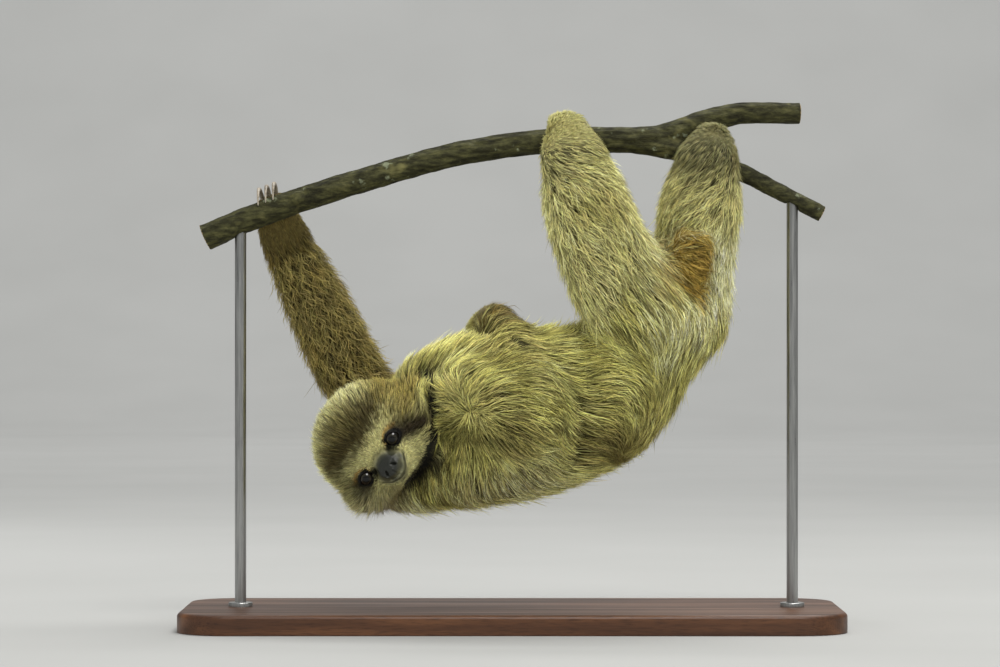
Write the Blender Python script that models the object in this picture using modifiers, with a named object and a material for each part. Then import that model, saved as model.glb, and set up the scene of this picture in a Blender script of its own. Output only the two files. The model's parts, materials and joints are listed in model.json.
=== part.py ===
"""A young brown-throated three-toed sloth, life size, hanging by three feet from a short cut branch
that a plain stand holds up: a flat base and two rods.

Frame: metres, +Z up, +X along the branch towards the sloth's hind feet, -Y towards its back, which it
turns to the viewer with its face. The origin is the middle of the base's underside. The solids of the
body reach out to the tips of the coat.
"""

from math import ceil, cos, radians, sin

import bmesh
import bpy
from mathutils import Matrix, Vector
from mathutils.kdtree import KDTree

MM = 0.001

# Stand
BASE_LENGTH, BASE_DEPTH, BASE_HEIGHT = 460.0, 170.0, 14.0
BASE_BEVEL = 3.0
ROD_RADIUS = 4.0
ROD_FOOT = 6.0  # the rod's foot, above the base's underside
ROD_TOPS = {"left": (-190.0, 0.0, 279.0), "right": (196.0, -2.0, 297.5)}  # inside the branch

# Coat, cuts and fits
VOXEL = 2.6
BODY_TRIANGLES, ARM_TRIANGLES, TAIL_TRIANGLES = 2600, 380, 120
GAP = 0.3
WOOD_GAP = 0.5
CUT = 0.4

# Stations along a body part: place x, y, z, then half its thickness across the part's own "across"
# axis and half its thickness the other way, all in millimetres and out to the tips of the coat.
TRUNK = [
    (106, 2, 214, 47, 43),
    (90.5, 3, 190, 46, 41),
    (71, 4, 169.5, 50, 50),
    (48, 5, 158.5, 53, 56),
    (16, 6, 151.5, 56, 62),
    (-15, 6, 147, 57, 65),
    (-40, 4, 140, 53, 61),
]
NECK = [(-40, 4, 140, 53, 61), (-62, 6, 128.5, 40, 50), (-81, 9, 121, 34, 45), (-97, 13, 108, 27, 32)]

RIGHT_LEG = [
    (95, -14, 211, 39, 39),
    (76, -22, 239, 38, 38),
    (60.5, -26, 269, 34.5, 34.5),
    (50.5, -27, 298, 31.5, 30),
    (43, -26, 326, 25, 22),
    (39.5, -20, 343, 18.5, 12),
    (38, -3, 353.5, 15.5, 9),
    (37, 14, 348, 13.5, 8),
    (37, 20.5, 340, 12.5, 7),
]
LEFT_LEG = [
    (122, 12, 213, 34, 34),
    (126, 8, 242, 31, 31),
    (129.5, 1, 274, 31, 31),
    (132, -12, 298, 30, 28),
    (135, -23, 323, 24, 19),
    (138, -22, 339, 17.5, 11),
    (139.5, -11, 346, 13.5, 7.5),
    (139.5, 4, 341, 12, 6),
    (139.5, 13, 332, 11.5, 6),
]
LEFT_ARM = [
    (-40, 36, 131, 33, 33),
    (-75, 50, 146, 28, 28),
    (-107, 55, 164, 27, 27),
    (-138.5, 43, 226, 25, 24),
    (-157, 30, 264, 20.5, 18),
    (-165, 22, 285, 16.5, 11.5),
    (-169.5, 17.5, 298, 13, 7),
]
RIGHT_ARM = [
    (-31, -26, 157, 36, 36),
    (-7, -36, 150, 33, 33),
    (15.5, -36, 144, 27, 27),
    (8.5, -27, 174, 24, 24),
    (-1, -10, 197, 20, 20),
    (-9, 10, 213, 14, 14),
    (-16, 30, 214, 13, 10),
    (-24, 45, 208, 11.5, 7.5),
]
TAIL = [(123, -14, 239, 13.5, 13), (124, -27, 256, 15.5, 14), (125, -33, 269, 15, 11)]

# Head, in its own frame: x to the animal's left, -y where the face looks, z to the crown
HEAD_CENTRE = (-97.5, -20, 130)
HEAD_ROLL, HEAD_YAW, HEAD_PITCH = -57.0, -12.0, 6.0  # degrees
HEAD_FORMS = {
    "cranium": ((0, 5, 3), (45, 34, 40)),
    "face": ((0, -9, -10), (36, 23, 28)),
    "muzzle": ((0, -27, -20), (15, 13, 12)),
    "chin": ((0, -22, -29), (14, 12, 9)),
    "left cheek": ((26, -5, -12), (22, 22, 20)),
    "right cheek": ((-26, -5, -12), (22, 22, 20)),
}
EYE_SPREAD, EYE_FORWARD, EYE_HEIGHT, EYE_RADIUS = 17.0, 26.0, -8.0, 5.6

# Branch: centre line x, y, z and radius
BRANCH = [
    (-215, 1, 272, 9.8),
    (-190, 0, 283, 9.4),
    (-148, -1, 298.5, 9.2),
    (-92, 0, 316, 9.0),
    (-33, 1, 332, 9.0),
    (23, 0, 339.5, 9.2),
    (69, 0, 340.5, 9.6),
    (103, 2, 342, 9.6),
    (130, 8, 352, 8.8),
    (160, 14, 360, 8.2),
    (203, 17, 360, 7.8),
]
FORK = [
    (84, 0, 339.5, 8.6),
    (112, -1, 334, 8.0),
    (139, -2, 325.5, 6.8),
    (160, -2, 318, 6.5),
    (188, -2, 303.5, 6.3),
    (217, -1, 288.5, 6.0),
]

# Where thin cuts part the body: a point in the limb, the way the limb runs there, and the cut's
# reach across the limb and in depth
BODY_CUTS = {
    "head": ((-81, -6, 128), (0.75, 0.65, -0.1), 62, 62),
    "neck": ((-52, 2, 134), (1, 0, 0.35), 75, 65),
    "right hip": ((71, -20, 242), (-0.75, 0, 0.66), 46, 55),
    "left hip": ((130, 4, 246.5), (0.5, 0, 0.87), 44.5, 60),
    "right knee": ((60, -26, 274), (-0.4, 0, 1), 42, 42),
    "left knee": ((130, 0, 278), (0.05, -0.2, 1), 38, 38),
    "right ankle": ((44, -26, 326), (-0.3, 0, 1), 34, 28),
    "left ankle": ((135, -20, 322), (0.2, -0.1, 1), 32, 27),
}
LEFT_ARM_CUTS = {
    "elbow": ((-112, 53, 172), (-0.4, -0.2, 1), 40, 40),
    "wrist": ((-158, 29, 267), (-0.45, -0.3, 1), 28, 28),
}
RIGHT_ARM_CUTS = {
    "elbow": ((3, -34, 155), (0.77, 0, 0.64), 50, 50),
    "wrist": ((-9, 13, 213), (-0.3, 1, 0.2), 26, 26),
}

# A point inside each node, to name the pieces by after the cuts
BODY_NODES = {
    "head": HEAD_CENTRE,
    "neck": (-68, 2, 126),
    "trunk": (20, 5, 150),
    "right_thigh": (70, -24, 250),
    "right_shin": (52, -27, 300),
    "right_foot": (39, -18, 345),
    "left_thigh": (156, 4, 262),
    "left_shin": (132, -7, 300),
    "left_foot": (138, -17, 338),
}
LEFT_ARM_NODES = {
    "left_upper_arm": (-75, 50, 146),
    "left_forearm": (-137, 43, 225),
    "left_hand": (-167, 23, 284),
}
RIGHT_ARM_NODES = {
    "right_upper_arm": (-20, -30, 154),
    "right_forearm": (0, -12, 195),
    "right_hand": (-18, 33, 213),
}

# Limbs fused on their own, because they lie along the body without growing out of it there
LOOSE_LIMBS = [
    ("left arm", LEFT_ARM, LEFT_ARM_CUTS, LEFT_ARM_NODES, ARM_TRIANGLES),
    ("right arm", RIGHT_ARM, RIGHT_ARM_CUTS, RIGHT_ARM_NODES, ARM_TRIANGLES),
    ("tail form", TAIL, {}, {"tail": (124, -25, 254)}, TAIL_TRIANGLES),
]

# Claws: middle claw's root, the way it leaves the toes, the side its curl turns to, the way its
# neighbours stand beside it, the curl's radius and its angle in degrees
CLAW_ROOT_RADIUS, CLAW_TIP_RADIUS, CLAW_STEPS = 2.5, 0.5, 4
CLAWS = {
    "left_hand": ((-171.5, 17.5, 302), (-0.05, -0.55, 0.83), (0, -0.83, -0.55), (0.93, 0, 0.36), 14.5, 140, 5.6),
    "right_hand": ((-28, 50, 204), (-0.55, 0.6, -0.58), (-0.2, -0.1, -1), (-0.8, -0.5, 0.3), 34, 60, 5.6),
    "right_foot": ((37, 20.5, 335.5), (0, 0.25, -0.97), (0, -0.97, -0.25), (1, 0, 0.03), 15, 125, 6.4),
    "left_foot": ((139.5, 15, 327), (0, 0.25, -0.97), (0, -0.97, -0.25), (0.94, 0, -0.34), 12.5, 130, 6.0),
}

# The other node whose coat each limb's claws press into
CLAWS_REST_ON = {
    "left_hand": "left_forearm",
    "right_hand": "trunk",
    "right_foot": "right_shin",
    "left_foot": "left_shin",
}

COLOURS = {
    "fur": ((0.46, 0.40, 0.20), 0.9),
    "eye": ((0.02, 0.015, 0.01), 0.15),
    "claw": ((0.42, 0.37, 0.29), 0.45),
    "bark": ((0.11, 0.09, 0.06), 0.85),
    "base": ((0.10, 0.06, 0.035), 0.5),
    "steel": ((0.5, 0.5, 0.5), 0.35),
}

sloth = bpy.data.collections.new("Three-toed sloth")
cutters = bpy.data.collections.new("Cutters")


def clear_scene():
    for leftover in list(bpy.data.objects):
        bpy.data.objects.remove(leftover, do_unlink=True)
    for collection in (sloth, cutters):
        bpy.context.scene.collection.children.link(collection)
    cutters.hide_render = True


def material(name):
    made = bpy.data.materials.get(name)
    if made is None:
        colour, roughness = COLOURS[name]
        made = bpy.data.materials.new(name)
        made.use_nodes = True
        shader = made.node_tree.nodes["Principled BSDF"]
        shader.inputs["Base Color"].default_value = (*colour, 1.0)
        shader.inputs["Roughness"].default_value = roughness
        shader.inputs["Metallic"].default_value = 1.0 if name == "steel" else 0.0
    return made


def new_object(name, bm, finish, collection=sloth):
    """Makes an object of a bmesh built in millimetres."""
    bm.transform(Matrix.Scale(MM, 4))
    mesh = bpy.data.meshes.new(name)
    bm.to_mesh(mesh)
    bm.free()
    made = bpy.data.objects.new(name, mesh)
    collection.objects.link(made)
    mesh.materials.append(material(finish))
    made.hide_render = collection is cutters
    if collection is cutters:
        made.display_type = "WIRE"
    return made


def freeze(obj):
    """Applies the object's modifiers."""
    graph = bpy.context.evaluated_depsgraph_get()
    graph.update()
    mesh = bpy.data.meshes.new_from_object(obj.evaluated_get(graph))
    obj.modifiers.clear()
    old = obj.data
    obj.data = mesh
    bpy.data.meshes.remove(old)
    return obj


def boolean(obj, other, operation="DIFFERENCE"):
    modifier = obj.modifiers.new("Boolean", "BOOLEAN")
    modifier.operation = operation
    modifier.object = other
    return freeze(obj)


def along(stations, steps):
    """Catmull-Rom points through the stations, `steps` to each span, with each point's tangent."""
    points = [Vector(s) for s in stations]
    ends = [points[0] * 2 - points[1], *points, points[-1] * 2 - points[-2]]
    found = []
    for a, b, c, d in zip(ends, ends[1:], ends[2:], ends[3:]):
        for i in range(steps):
            t = i / steps
            spot = (
                2 * b + (c - a) * t + (2 * a - 5 * b + 4 * c - d) * t**2 + (3 * b - a - 3 * c + d) * t**3
            ) / 2
            found.append((spot, c - b))
    found.append((points[-1], points[-1] - points[-2]))
    return found


def add_form(bm, turned, radii):
    """Adds one ellipsoid, its axes turned by the matrix."""
    matrix = turned @ Matrix.Diagonal((*radii, 1.0))
    bmesh.ops.create_icosphere(bm, subdivisions=3, radius=1.0, matrix=matrix)


def add_limb(bm, stations, across):
    """Adds overlapping ellipsoids along the stations: the first half-thickness lies along `across`."""
    least = min(s[3] for s in stations)
    longest = max((Vector(a[:3]) - Vector(b[:3])).length for a, b in zip(stations, stations[1:]))
    for spot, heading in along(stations, ceil(longest / (0.35 * least))):
        forward = Vector(heading[:3]).normalized()
        side = (Vector(across) - Vector(across).dot(forward) * forward).normalized()
        up = forward.cross(side)
        turned = Matrix((side, up, forward)).transposed().to_4x4()
        turned.translation = Vector(spot[:3])
        add_form(bm, turned, (spot[3], spot[4], 0.8 * min(spot[3], spot[4])))


def head_frame():
    turn = (
        Matrix.Rotation(radians(HEAD_ROLL), 4, "Y")
        @ Matrix.Rotation(radians(HEAD_YAW), 4, "Z")
        @ Matrix.Rotation(radians(HEAD_PITCH), 4, "X")
    )
    return Matrix.Translation(HEAD_CENTRE) @ turn


def add_head(bm):
    for centre, radii in HEAD_FORMS.values():
        add_form(bm, head_frame() @ Matrix.Translation(centre), radii)


def fused(name, bm, triangles, collection=sloth):
    """Fuses overlapping forms into one smooth skin of about that many triangles."""
    obj = new_object(name, bm, "fur", collection)
    remesh = obj.modifiers.new("Fuse", "REMESH")
    remesh.mode = "VOXEL"
    remesh.voxel_size = VOXEL * MM
    smooth = obj.modifiers.new("Smooth", "SMOOTH")
    smooth.factor, smooth.iterations = 0.5, 6
    freeze(obj)
    thin = obj.modifiers.new("Thin", "DECIMATE")
    obj.data.calc_loop_triangles()
    thin.ratio = triangles / len(obj.data.loop_triangles)
    thin.use_collapse_triangulate = True
    return freeze(obj)


def slab(name, place, normal, across, deep):
    """A thin plate that cuts across a limb, `deep` being its reach along the frame's Y."""
    forward = Vector(normal).normalized()
    side = forward.cross((0, 1, 0)).normalized()
    turned = Matrix((side, forward.cross(side), forward)).transposed().to_4x4()
    turned.translation = Vector(place)
    size = Matrix.Diagonal((2 * across, 2 * deep, CUT, 1.0))
    bm = bmesh.new()
    bmesh.ops.create_cube(bm, size=1.0, matrix=turned @ size)
    return new_object(name, bm, "fur", cutters)


def parted(obj, cuts, nodes):
    """Cuts the object across and makes one named object of each piece."""
    for name, where in cuts.items():
        boolean(obj, slab(f"{obj.name} {name} cut", *where))
    bm = bmesh.new()
    bm.from_mesh(obj.data)
    bm.verts.ensure_lookup_table()
    marks = KDTree(len(bm.verts))
    for v in bm.verts:
        marks.insert(v.co, v.index)
    marks.balance()
    piece_of = [-1] * len(bm.verts)
    pieces = 0
    for seed in bm.verts:
        if piece_of[seed.index] >= 0:
            continue
        queue = [seed]
        piece_of[seed.index] = pieces
        while queue:
            for edge in queue.pop().link_edges:
                for v in edge.verts:
                    if piece_of[v.index] < 0:
                        piece_of[v.index] = pieces
                        queue.append(v)
        pieces += 1
    made = {}
    for node, place in nodes.items():
        _, nearest, _ = marks.find(Vector(place) * MM)
        piece = bm.copy()
        piece.verts.ensure_lookup_table()
        other = [v for v in piece.verts if piece_of[v.index] != piece_of[nearest]]
        bmesh.ops.delete(piece, geom=other, context="VERTS")
        piece.transform(Matrix.Scale(1 / MM, 4))
        made[node] = new_object(node, piece, "fur")
    bm.free()
    bpy.data.objects.remove(obj)
    return made


def tube(name, stations, finish, grow=0.0, collection=sloth, resolution=3):
    """A round tube through the stations, the fourth number of each being its radius."""
    curve = bpy.data.curves.new(name, "CURVE")
    curve.dimensions = "3D"
    curve.bevel_depth = MM
    curve.bevel_resolution = resolution
    curve.use_fill_caps = True
    spline = curve.splines.new("POLY")
    spots = [spot for spot, _ in along(stations, 2)]
    spline.points.add(len(spots) - 1)
    for point, spot in zip(spline.points, spots):
        point.co = (*(Vector(spot[:3]) * MM), 1.0)
        point.radius = spot[3] + grow
    drawn = bpy.data.objects.new(name + " line", curve)
    collection.objects.link(drawn)
    bm = bmesh.new()
    graph = bpy.context.evaluated_depsgraph_get()
    bm.from_mesh(bpy.data.meshes.new_from_object(drawn.evaluated_get(graph)))
    bpy.data.objects.remove(drawn)
    bmesh.ops.remove_doubles(bm, verts=bm.verts, dist=1e-6)
    bmesh.ops.recalc_face_normals(bm, faces=bm.faces)
    bm.transform(Matrix.Scale(1 / MM, 4))
    return new_object(name, bm, finish, collection)


def branch(name, grow=0.0, collection=sloth):
    stem = tube(name, BRANCH, "bark", grow, collection)
    limb = tube(name + " fork", FORK, "bark", grow, cutters)
    return boolean(stem, limb, "UNION")


def rod(name, place, grow=0.0, collection=sloth):
    """An upright rod from inside the base to `place`, its top inside the branch."""
    x, y, z = place
    bottom, top = ROD_FOOT - grow, z + grow
    bm = bmesh.new()
    bmesh.ops.create_cone(
        bm,
        cap_ends=True,
        segments=20,
        radius1=ROD_RADIUS + grow,
        radius2=ROD_RADIUS + grow,
        depth=top - bottom,
        matrix=Matrix.Translation((x, y, (top + bottom) / 2)),
    )
    return new_object(name, bm, "steel", collection)


def base():
    bm = bmesh.new()
    size = Matrix.Diagonal((BASE_LENGTH, BASE_DEPTH, BASE_HEIGHT, 1.0))
    bmesh.ops.create_cube(bm, size=1.0, matrix=Matrix.Translation((0, 0, BASE_HEIGHT / 2)) @ size)
    upright = [e for e in bm.edges if abs(e.verts[0].co.z - e.verts[1].co.z) > 1]
    bmesh.ops.bevel(
        bm, geom=upright, offset=BASE_DEPTH * 0.2, segments=5, profile=0.5, affect="EDGES", material=-1
    )
    rim = [e for e in bm.edges if min(v.co.z for v in e.verts) > BASE_HEIGHT - 0.01]
    bmesh.ops.bevel(
        bm, geom=rim, offset=BASE_BEVEL, segments=2, profile=0.5, affect="EDGES", material=-1
    )
    return new_object("stand_base", bm, "base")


def claw_stations(root, leave, towards, radius, angle):
    """Stations along a claw that curls on a circle from its root and thins to its tip."""
    leave = Vector(leave).normalized()
    towards = (Vector(towards) - Vector(towards).dot(leave) * leave).normalized()
    stations = []
    for i in range(CLAW_STEPS + 1):
        share = i / CLAW_STEPS
        turn = radians(angle) * share
        spot = Vector(root) + radius * (leave * sin(turn) + towards * (1 - cos(turn)))
        stations.append((*spot, CLAW_ROOT_RADIUS + (CLAW_TIP_RADIUS - CLAW_ROOT_RADIUS) * share**1.3))
    return stations


def claws(limb, grow=0.0, collection=sloth):
    """The three claws of one hand or foot."""
    root, leave, towards, beside, radius, angle, spacing = CLAWS[limb]
    made = []
    for number, offset in enumerate((-spacing, 0, spacing), start=1):
        place = Vector(root) + Vector(beside).normalized() * offset
        stations = claw_stations(place, leave, towards, radius, angle)
        name = f"{limb}_claw_{number}{' space' if grow else ''}"
        made.append(tube(name, stations, "claw", grow, collection, resolution=1))
    return made


def eye(side, grow=0.0, collection=sloth):
    sign = 1 if side == "left" else -1
    place = head_frame() @ Vector((sign * EYE_SPREAD, -EYE_FORWARD, EYE_HEIGHT))
    bm = bmesh.new()
    bmesh.ops.create_uvsphere(
        bm, u_segments=12, v_segments=8, radius=EYE_RADIUS + grow, matrix=Matrix.Translation(place)
    )
    return new_object(f"{side}_eye{' space' if grow else ''}", bm, "eye", collection)


def body():
    bm = bmesh.new()
    for stations in (TRUNK, NECK):
        add_limb(bm, stations, (0, 1, 0))
    for stations in (RIGHT_LEG, LEFT_LEG):
        add_limb(bm, stations, (1, 0, 0))
    add_head(bm)
    return fused("body", bm, BODY_TRIANGLES)


def limb(name, stations, triangles):
    """A limb fused on its own."""
    bm = bmesh.new()
    add_limb(bm, stations, (1, 0, 0))
    return fused(name, bm, triangles)


def swollen(obj):
    """A cutter with the object's own facets, larger all round by the gap."""
    bm = bmesh.new()
    bm.from_mesh(obj.data)
    bm.transform(Matrix.Scale(1 / MM, 4))
    bm.normal_update()
    for v in bm.verts:
        v.co += v.normal * GAP
    return new_object(f"{obj.name} space", bm, "fur", cutters)


def build():
    clear_scene()
    wood = branch("branch")
    wood_space = branch("branch space", WOOD_GAP, cutters)
    made = {}
    whole = body()
    for name, stations, cuts, nodes, triangles in LOOSE_LIMBS:
        part = limb(name, stations, triangles)
        boolean(whole, swollen(part))
        made.update(parted(boolean(part, wood_space), cuts, nodes))
    boolean(whole, wood_space)
    made.update(parted(whole, BODY_CUTS, BODY_NODES))
    for side in ("left", "right"):
        boolean(made["head"], eye(side, GAP, cutters))
        eye(side)
    for limb_name, near in CLAWS_REST_ON.items():
        claws(limb_name)
        for space in claws(limb_name, GAP, cutters):
            boolean(made[limb_name], space)
            boolean(made[near], space)
    foot = base()
    for side, top in ROD_TOPS.items():
        space = rod(f"rod space {side}", top, GAP, cutters)
        boolean(wood, space)
        boolean(foot, space)
        rod(f"stand_rod_{side}", top)


build()
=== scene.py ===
"""The looks of a young brown-throated three-toed sloth that hangs from a short cut branch on a stand.

One skin replaces the flesh, and the coat over it is thin solid tufts in locks. Places are in
millimetres in the tables and in metres in the meshes; the head has a frame of its own, with x to the
animal's left, -y where the face looks and z to the crown.
"""

import json
from itertools import product
from math import pi, radians

import bmesh
import bpy
import numpy as np
from mathutils import Matrix, Vector, noise
from mathutils.bvhtree import BVHTree
from mathutils.kdtree import KDTree

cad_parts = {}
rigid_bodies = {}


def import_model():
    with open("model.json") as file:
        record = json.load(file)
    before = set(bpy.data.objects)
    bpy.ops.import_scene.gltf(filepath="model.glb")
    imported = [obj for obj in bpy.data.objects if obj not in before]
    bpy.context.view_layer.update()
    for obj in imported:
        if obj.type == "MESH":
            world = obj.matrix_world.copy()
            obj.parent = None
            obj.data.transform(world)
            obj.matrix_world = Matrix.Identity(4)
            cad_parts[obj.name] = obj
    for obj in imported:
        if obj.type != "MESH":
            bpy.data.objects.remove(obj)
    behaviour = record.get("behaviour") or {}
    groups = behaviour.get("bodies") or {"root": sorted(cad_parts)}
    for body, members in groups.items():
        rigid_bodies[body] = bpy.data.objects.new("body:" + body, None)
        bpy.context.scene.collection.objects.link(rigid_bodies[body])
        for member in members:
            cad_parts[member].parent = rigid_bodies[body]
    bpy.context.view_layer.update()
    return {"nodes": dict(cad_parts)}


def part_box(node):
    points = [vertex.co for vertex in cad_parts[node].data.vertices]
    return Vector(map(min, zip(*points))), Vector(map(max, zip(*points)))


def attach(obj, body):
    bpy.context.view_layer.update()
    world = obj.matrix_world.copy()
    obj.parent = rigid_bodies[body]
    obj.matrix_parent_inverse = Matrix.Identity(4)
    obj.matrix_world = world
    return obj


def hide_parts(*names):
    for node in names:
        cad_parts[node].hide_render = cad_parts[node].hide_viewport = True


MM = 0.001

# Where the head sits in the solids, and the eyes in the head
HEAD_CENTRE = (-97.5, -20, 130)
HEAD_ROLL, HEAD_YAW, HEAD_PITCH = -57.0, -12.0, 6.0  # degrees
EYE_SPREAD, EYE_FORWARD, EYE_HEIGHT, EYE_RADIUS = 17.0, 26.0, -8.0, 5.6

# The skin
FLESH = [
    "head", "neck", "trunk", "tail",
    "left_upper_arm", "left_forearm", "left_hand", "right_upper_arm", "right_forearm", "right_hand",
    "left_thigh", "left_shin", "left_foot", "right_thigh", "right_shin", "right_foot",
]  # fmt: skip
EYES = ["left_eye", "right_eye"]
SEAM = 0.5  # swells each node so that the thin cuts between them close
SKIN_VOXEL = 1.9

# How the coat lies over each node: its depth over the skin, then each tuft's length, its width, tufts
# to a square millimetre, the radius of a lock, how far its tips gather, the wave's height and how far
# the tufts spread sideways
DEPTH, LENGTH, WIDTH, DENSITY, LOCK, GATHER, WAVE, SPREAD = range(8)
LEG_COATS = {
    "thigh": (7.5, 25, 0.36, 0.60, 2.3, 0.5, 1.0, 0.12),
    "shin": (6.0, 18, 0.33, 0.80, 2.0, 0.45, 1.0, 0.14),
    "foot": (1.5, 3.8, 0.30, 0.95, 1.4, 0.15, 0.15, 0.06),
}
COATS = {
    "neck": (8.0, 28, 0.42, 0.72, 2.4, 0.5, 0.6, 0.1),
    "trunk": (8.5, 32, 0.43, 0.60, 2.5, 0.5, 0.7, 0.09),
    "tail": (5.0, 20, 0.36, 1.5, 2.0, 0.3, 1.0, 0.16),
    "left_upper_arm": (7.0, 18, 0.39, 0.48, 2.1, 0.35, 1.6, 0.2),
    "left_forearm": (6.0, 16, 0.37, 0.54, 2.0, 0.3, 1.8, 0.24),
    "left_hand": (1.8, 6, 0.28, 1.2, 1.5, 0.2, 0.3, 0.08),
    "right_upper_arm": (7.5, 29, 0.42, 0.70, 2.4, 0.5, 0.6, 0.1),
    "right_forearm": (7.0, 26, 0.42, 0.70, 2.4, 0.5, 0.6, 0.1),
    "right_hand": (1.8, 8, 0.30, 1.2, 1.6, 0.2, 0.3, 0.1),
    "head": (5.5, 10.5, 0.26, 2.2, 1.7, 0.35, 0.4, 0.08),
    **{f"{side}_{part}": row for side in ("left", "right") for part, row in LEG_COATS.items()},
}
FACE_COAT = (1.6, 3.7, 0.17, 5.6, 1.2, 0.15, 0.1, 0.07)
FULLNESS = 0.92  # the share of the tufts above that grow

# The ridge where the shoulders' long coat ends over the flank, as x, z seen from the front
CAPE_RIDGE = [(16, 188), (31, 177), (38, 161), (41, 133), (34, 112), (22, 100)]

# The parting between the cheek and the shoulder, as x, z seen from the front; the coat along it is painted
# dark, partly its brown hair and partly painted shadow in the crease
THROAT_LINE = [
    (-62, 172), (-58, 165), (-54, 157), (-56, 146), (-57, 134), (-60, 122), (-66, 112), (-73, 103),
]  # fmt: skip

THROAT_MIDDLE = 2.2  # how far past that line the parting is darkest

# Parts of the coat that flow into each other
GROUPS = {
    "head": ["head"],
    "body": ["neck", "trunk", "right_upper_arm", "right_forearm", "right_hand"],
    "left_arm": ["left_upper_arm", "left_forearm", "left_hand"],
    "left_leg": ["left_thigh", "left_shin", "left_foot"],
    "right_leg": ["right_thigh", "right_shin", "right_foot"],
    "tail": ["tail"],
}

# The lie of the coat on the side that faces the front: x, z, then the way it runs there, dx, dz
LIE = {
    "body": [
        (-50, 176, 0.35, 0.9), (-40, 193, 0.6, 0.7), (-22, 204, 0.9, 0.35), (2, 204, 1, -0.1),
        (23, 190, 0.8, -0.5), (35, 169, 0.5, -0.85), (-22, 179, 0.8, 0.55), (-1, 176, 1, 0.1),
        (20, 169, 0.9, -0.35), (-8, 158, 1, 0), (20, 151, 0.95, -0.3), (37, 137, 0.5, -0.85),
        (-43, 151, -0.95, -0.15), (-47, 141, -0.7, -0.6), (-40, 130, -0.25, -0.95),
        (-26, 130, 0.05, -1), (-8, 130, 0.55, -0.83), (-28, 158, 0.5, 0.85),
        (-20, 151, 0.98, 0.1), (-27, 143, 0.1, -1), (-35, 151, -0.97, 0.05), (13, 130, 0.8, -0.6),
        (27, 120, 0.75, -0.66),
        (-36, 102, 0, -1), (-15, 102, 0.3, -0.95), (6, 106, 0.55, -0.83), (23, 102, 0.75, -0.6),
        (-50, 109, 0.1, -1), (-54, 88, 0.3, -0.9), (-22, 85, 0.5, -0.7), (13, 88, 0.85, -0.45),
        (50, 189, 1, -0.05), (50, 179, 0.8, 0.5), (57, 171, 1, 0.2), (57, 160, 0.85, 0.4),
        (53, 148, 1, 0.1), (69, 148, 0.7, -0.6), (53, 137, 0.9, 0.1), (46, 123, 0.9, 0.1),
        (69, 133, 0.1, -1), (91, 141, -0.5, -0.8), (76, 221, 0.65, -0.75), (91, 213, 0.5, -0.85),
        (76, 182, 0.8, -0.6), (91, 175, 0.9, -0.3), (129, 228, -0.4, -0.9), (118, 205, -0.45, -0.9),
        (103, 182, -0.5, -0.85), (95, 163, -0.45, -0.85), (84, 156, -0.2, -1),
        (98, 252, 0.6, -0.8), (111, 238, 0.7, -0.7),
    ],
    "right_leg": [
        (35, 350, 0.9, -0.2), (43, 338, 0.9, -0.4), (35, 322, 0.9, -0.35), (58, 315, 0.95, -0.3),
        (62, 300, 0.2, -1), (35, 296, 0.75, -0.6), (58, 289, 0.8, -0.6), (47, 281, 0.75, -0.65),
        (62, 277, 0.6, -0.8), (77, 277, -0.1, -1), (55, 259, 0.8, -0.55), (85, 259, 0.1, -1),
    ],
    "left_leg": [
        (140, 349, -0.3, -0.9), (132, 336, -0.5, -0.85), (145, 319, -0.6, -0.8),
        (119, 315, -0.6, -0.75), (136, 304, -0.8, -0.5), (115, 296, -0.7, -0.7),
        (149, 289, -0.5, -0.85), (106, 285, 0.4, -0.9), (149, 268, -0.3, -0.95),
        (145, 252, -0.1, -1), (111, 264, 0.45, -0.9),
    ],
    "tail": [(123, 253, 0.6, -0.8), (123, 270, 1, 0.25), (134, 262, 0.95, -0.3), (114, 262, 0.9, -0.2)],
    "left_arm": [(-165, 285, 0.5, -0.85), (-140, 230, 0.55, -0.8), (-110, 170, 0.7, -0.6)],
}  # fmt: skip

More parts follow.
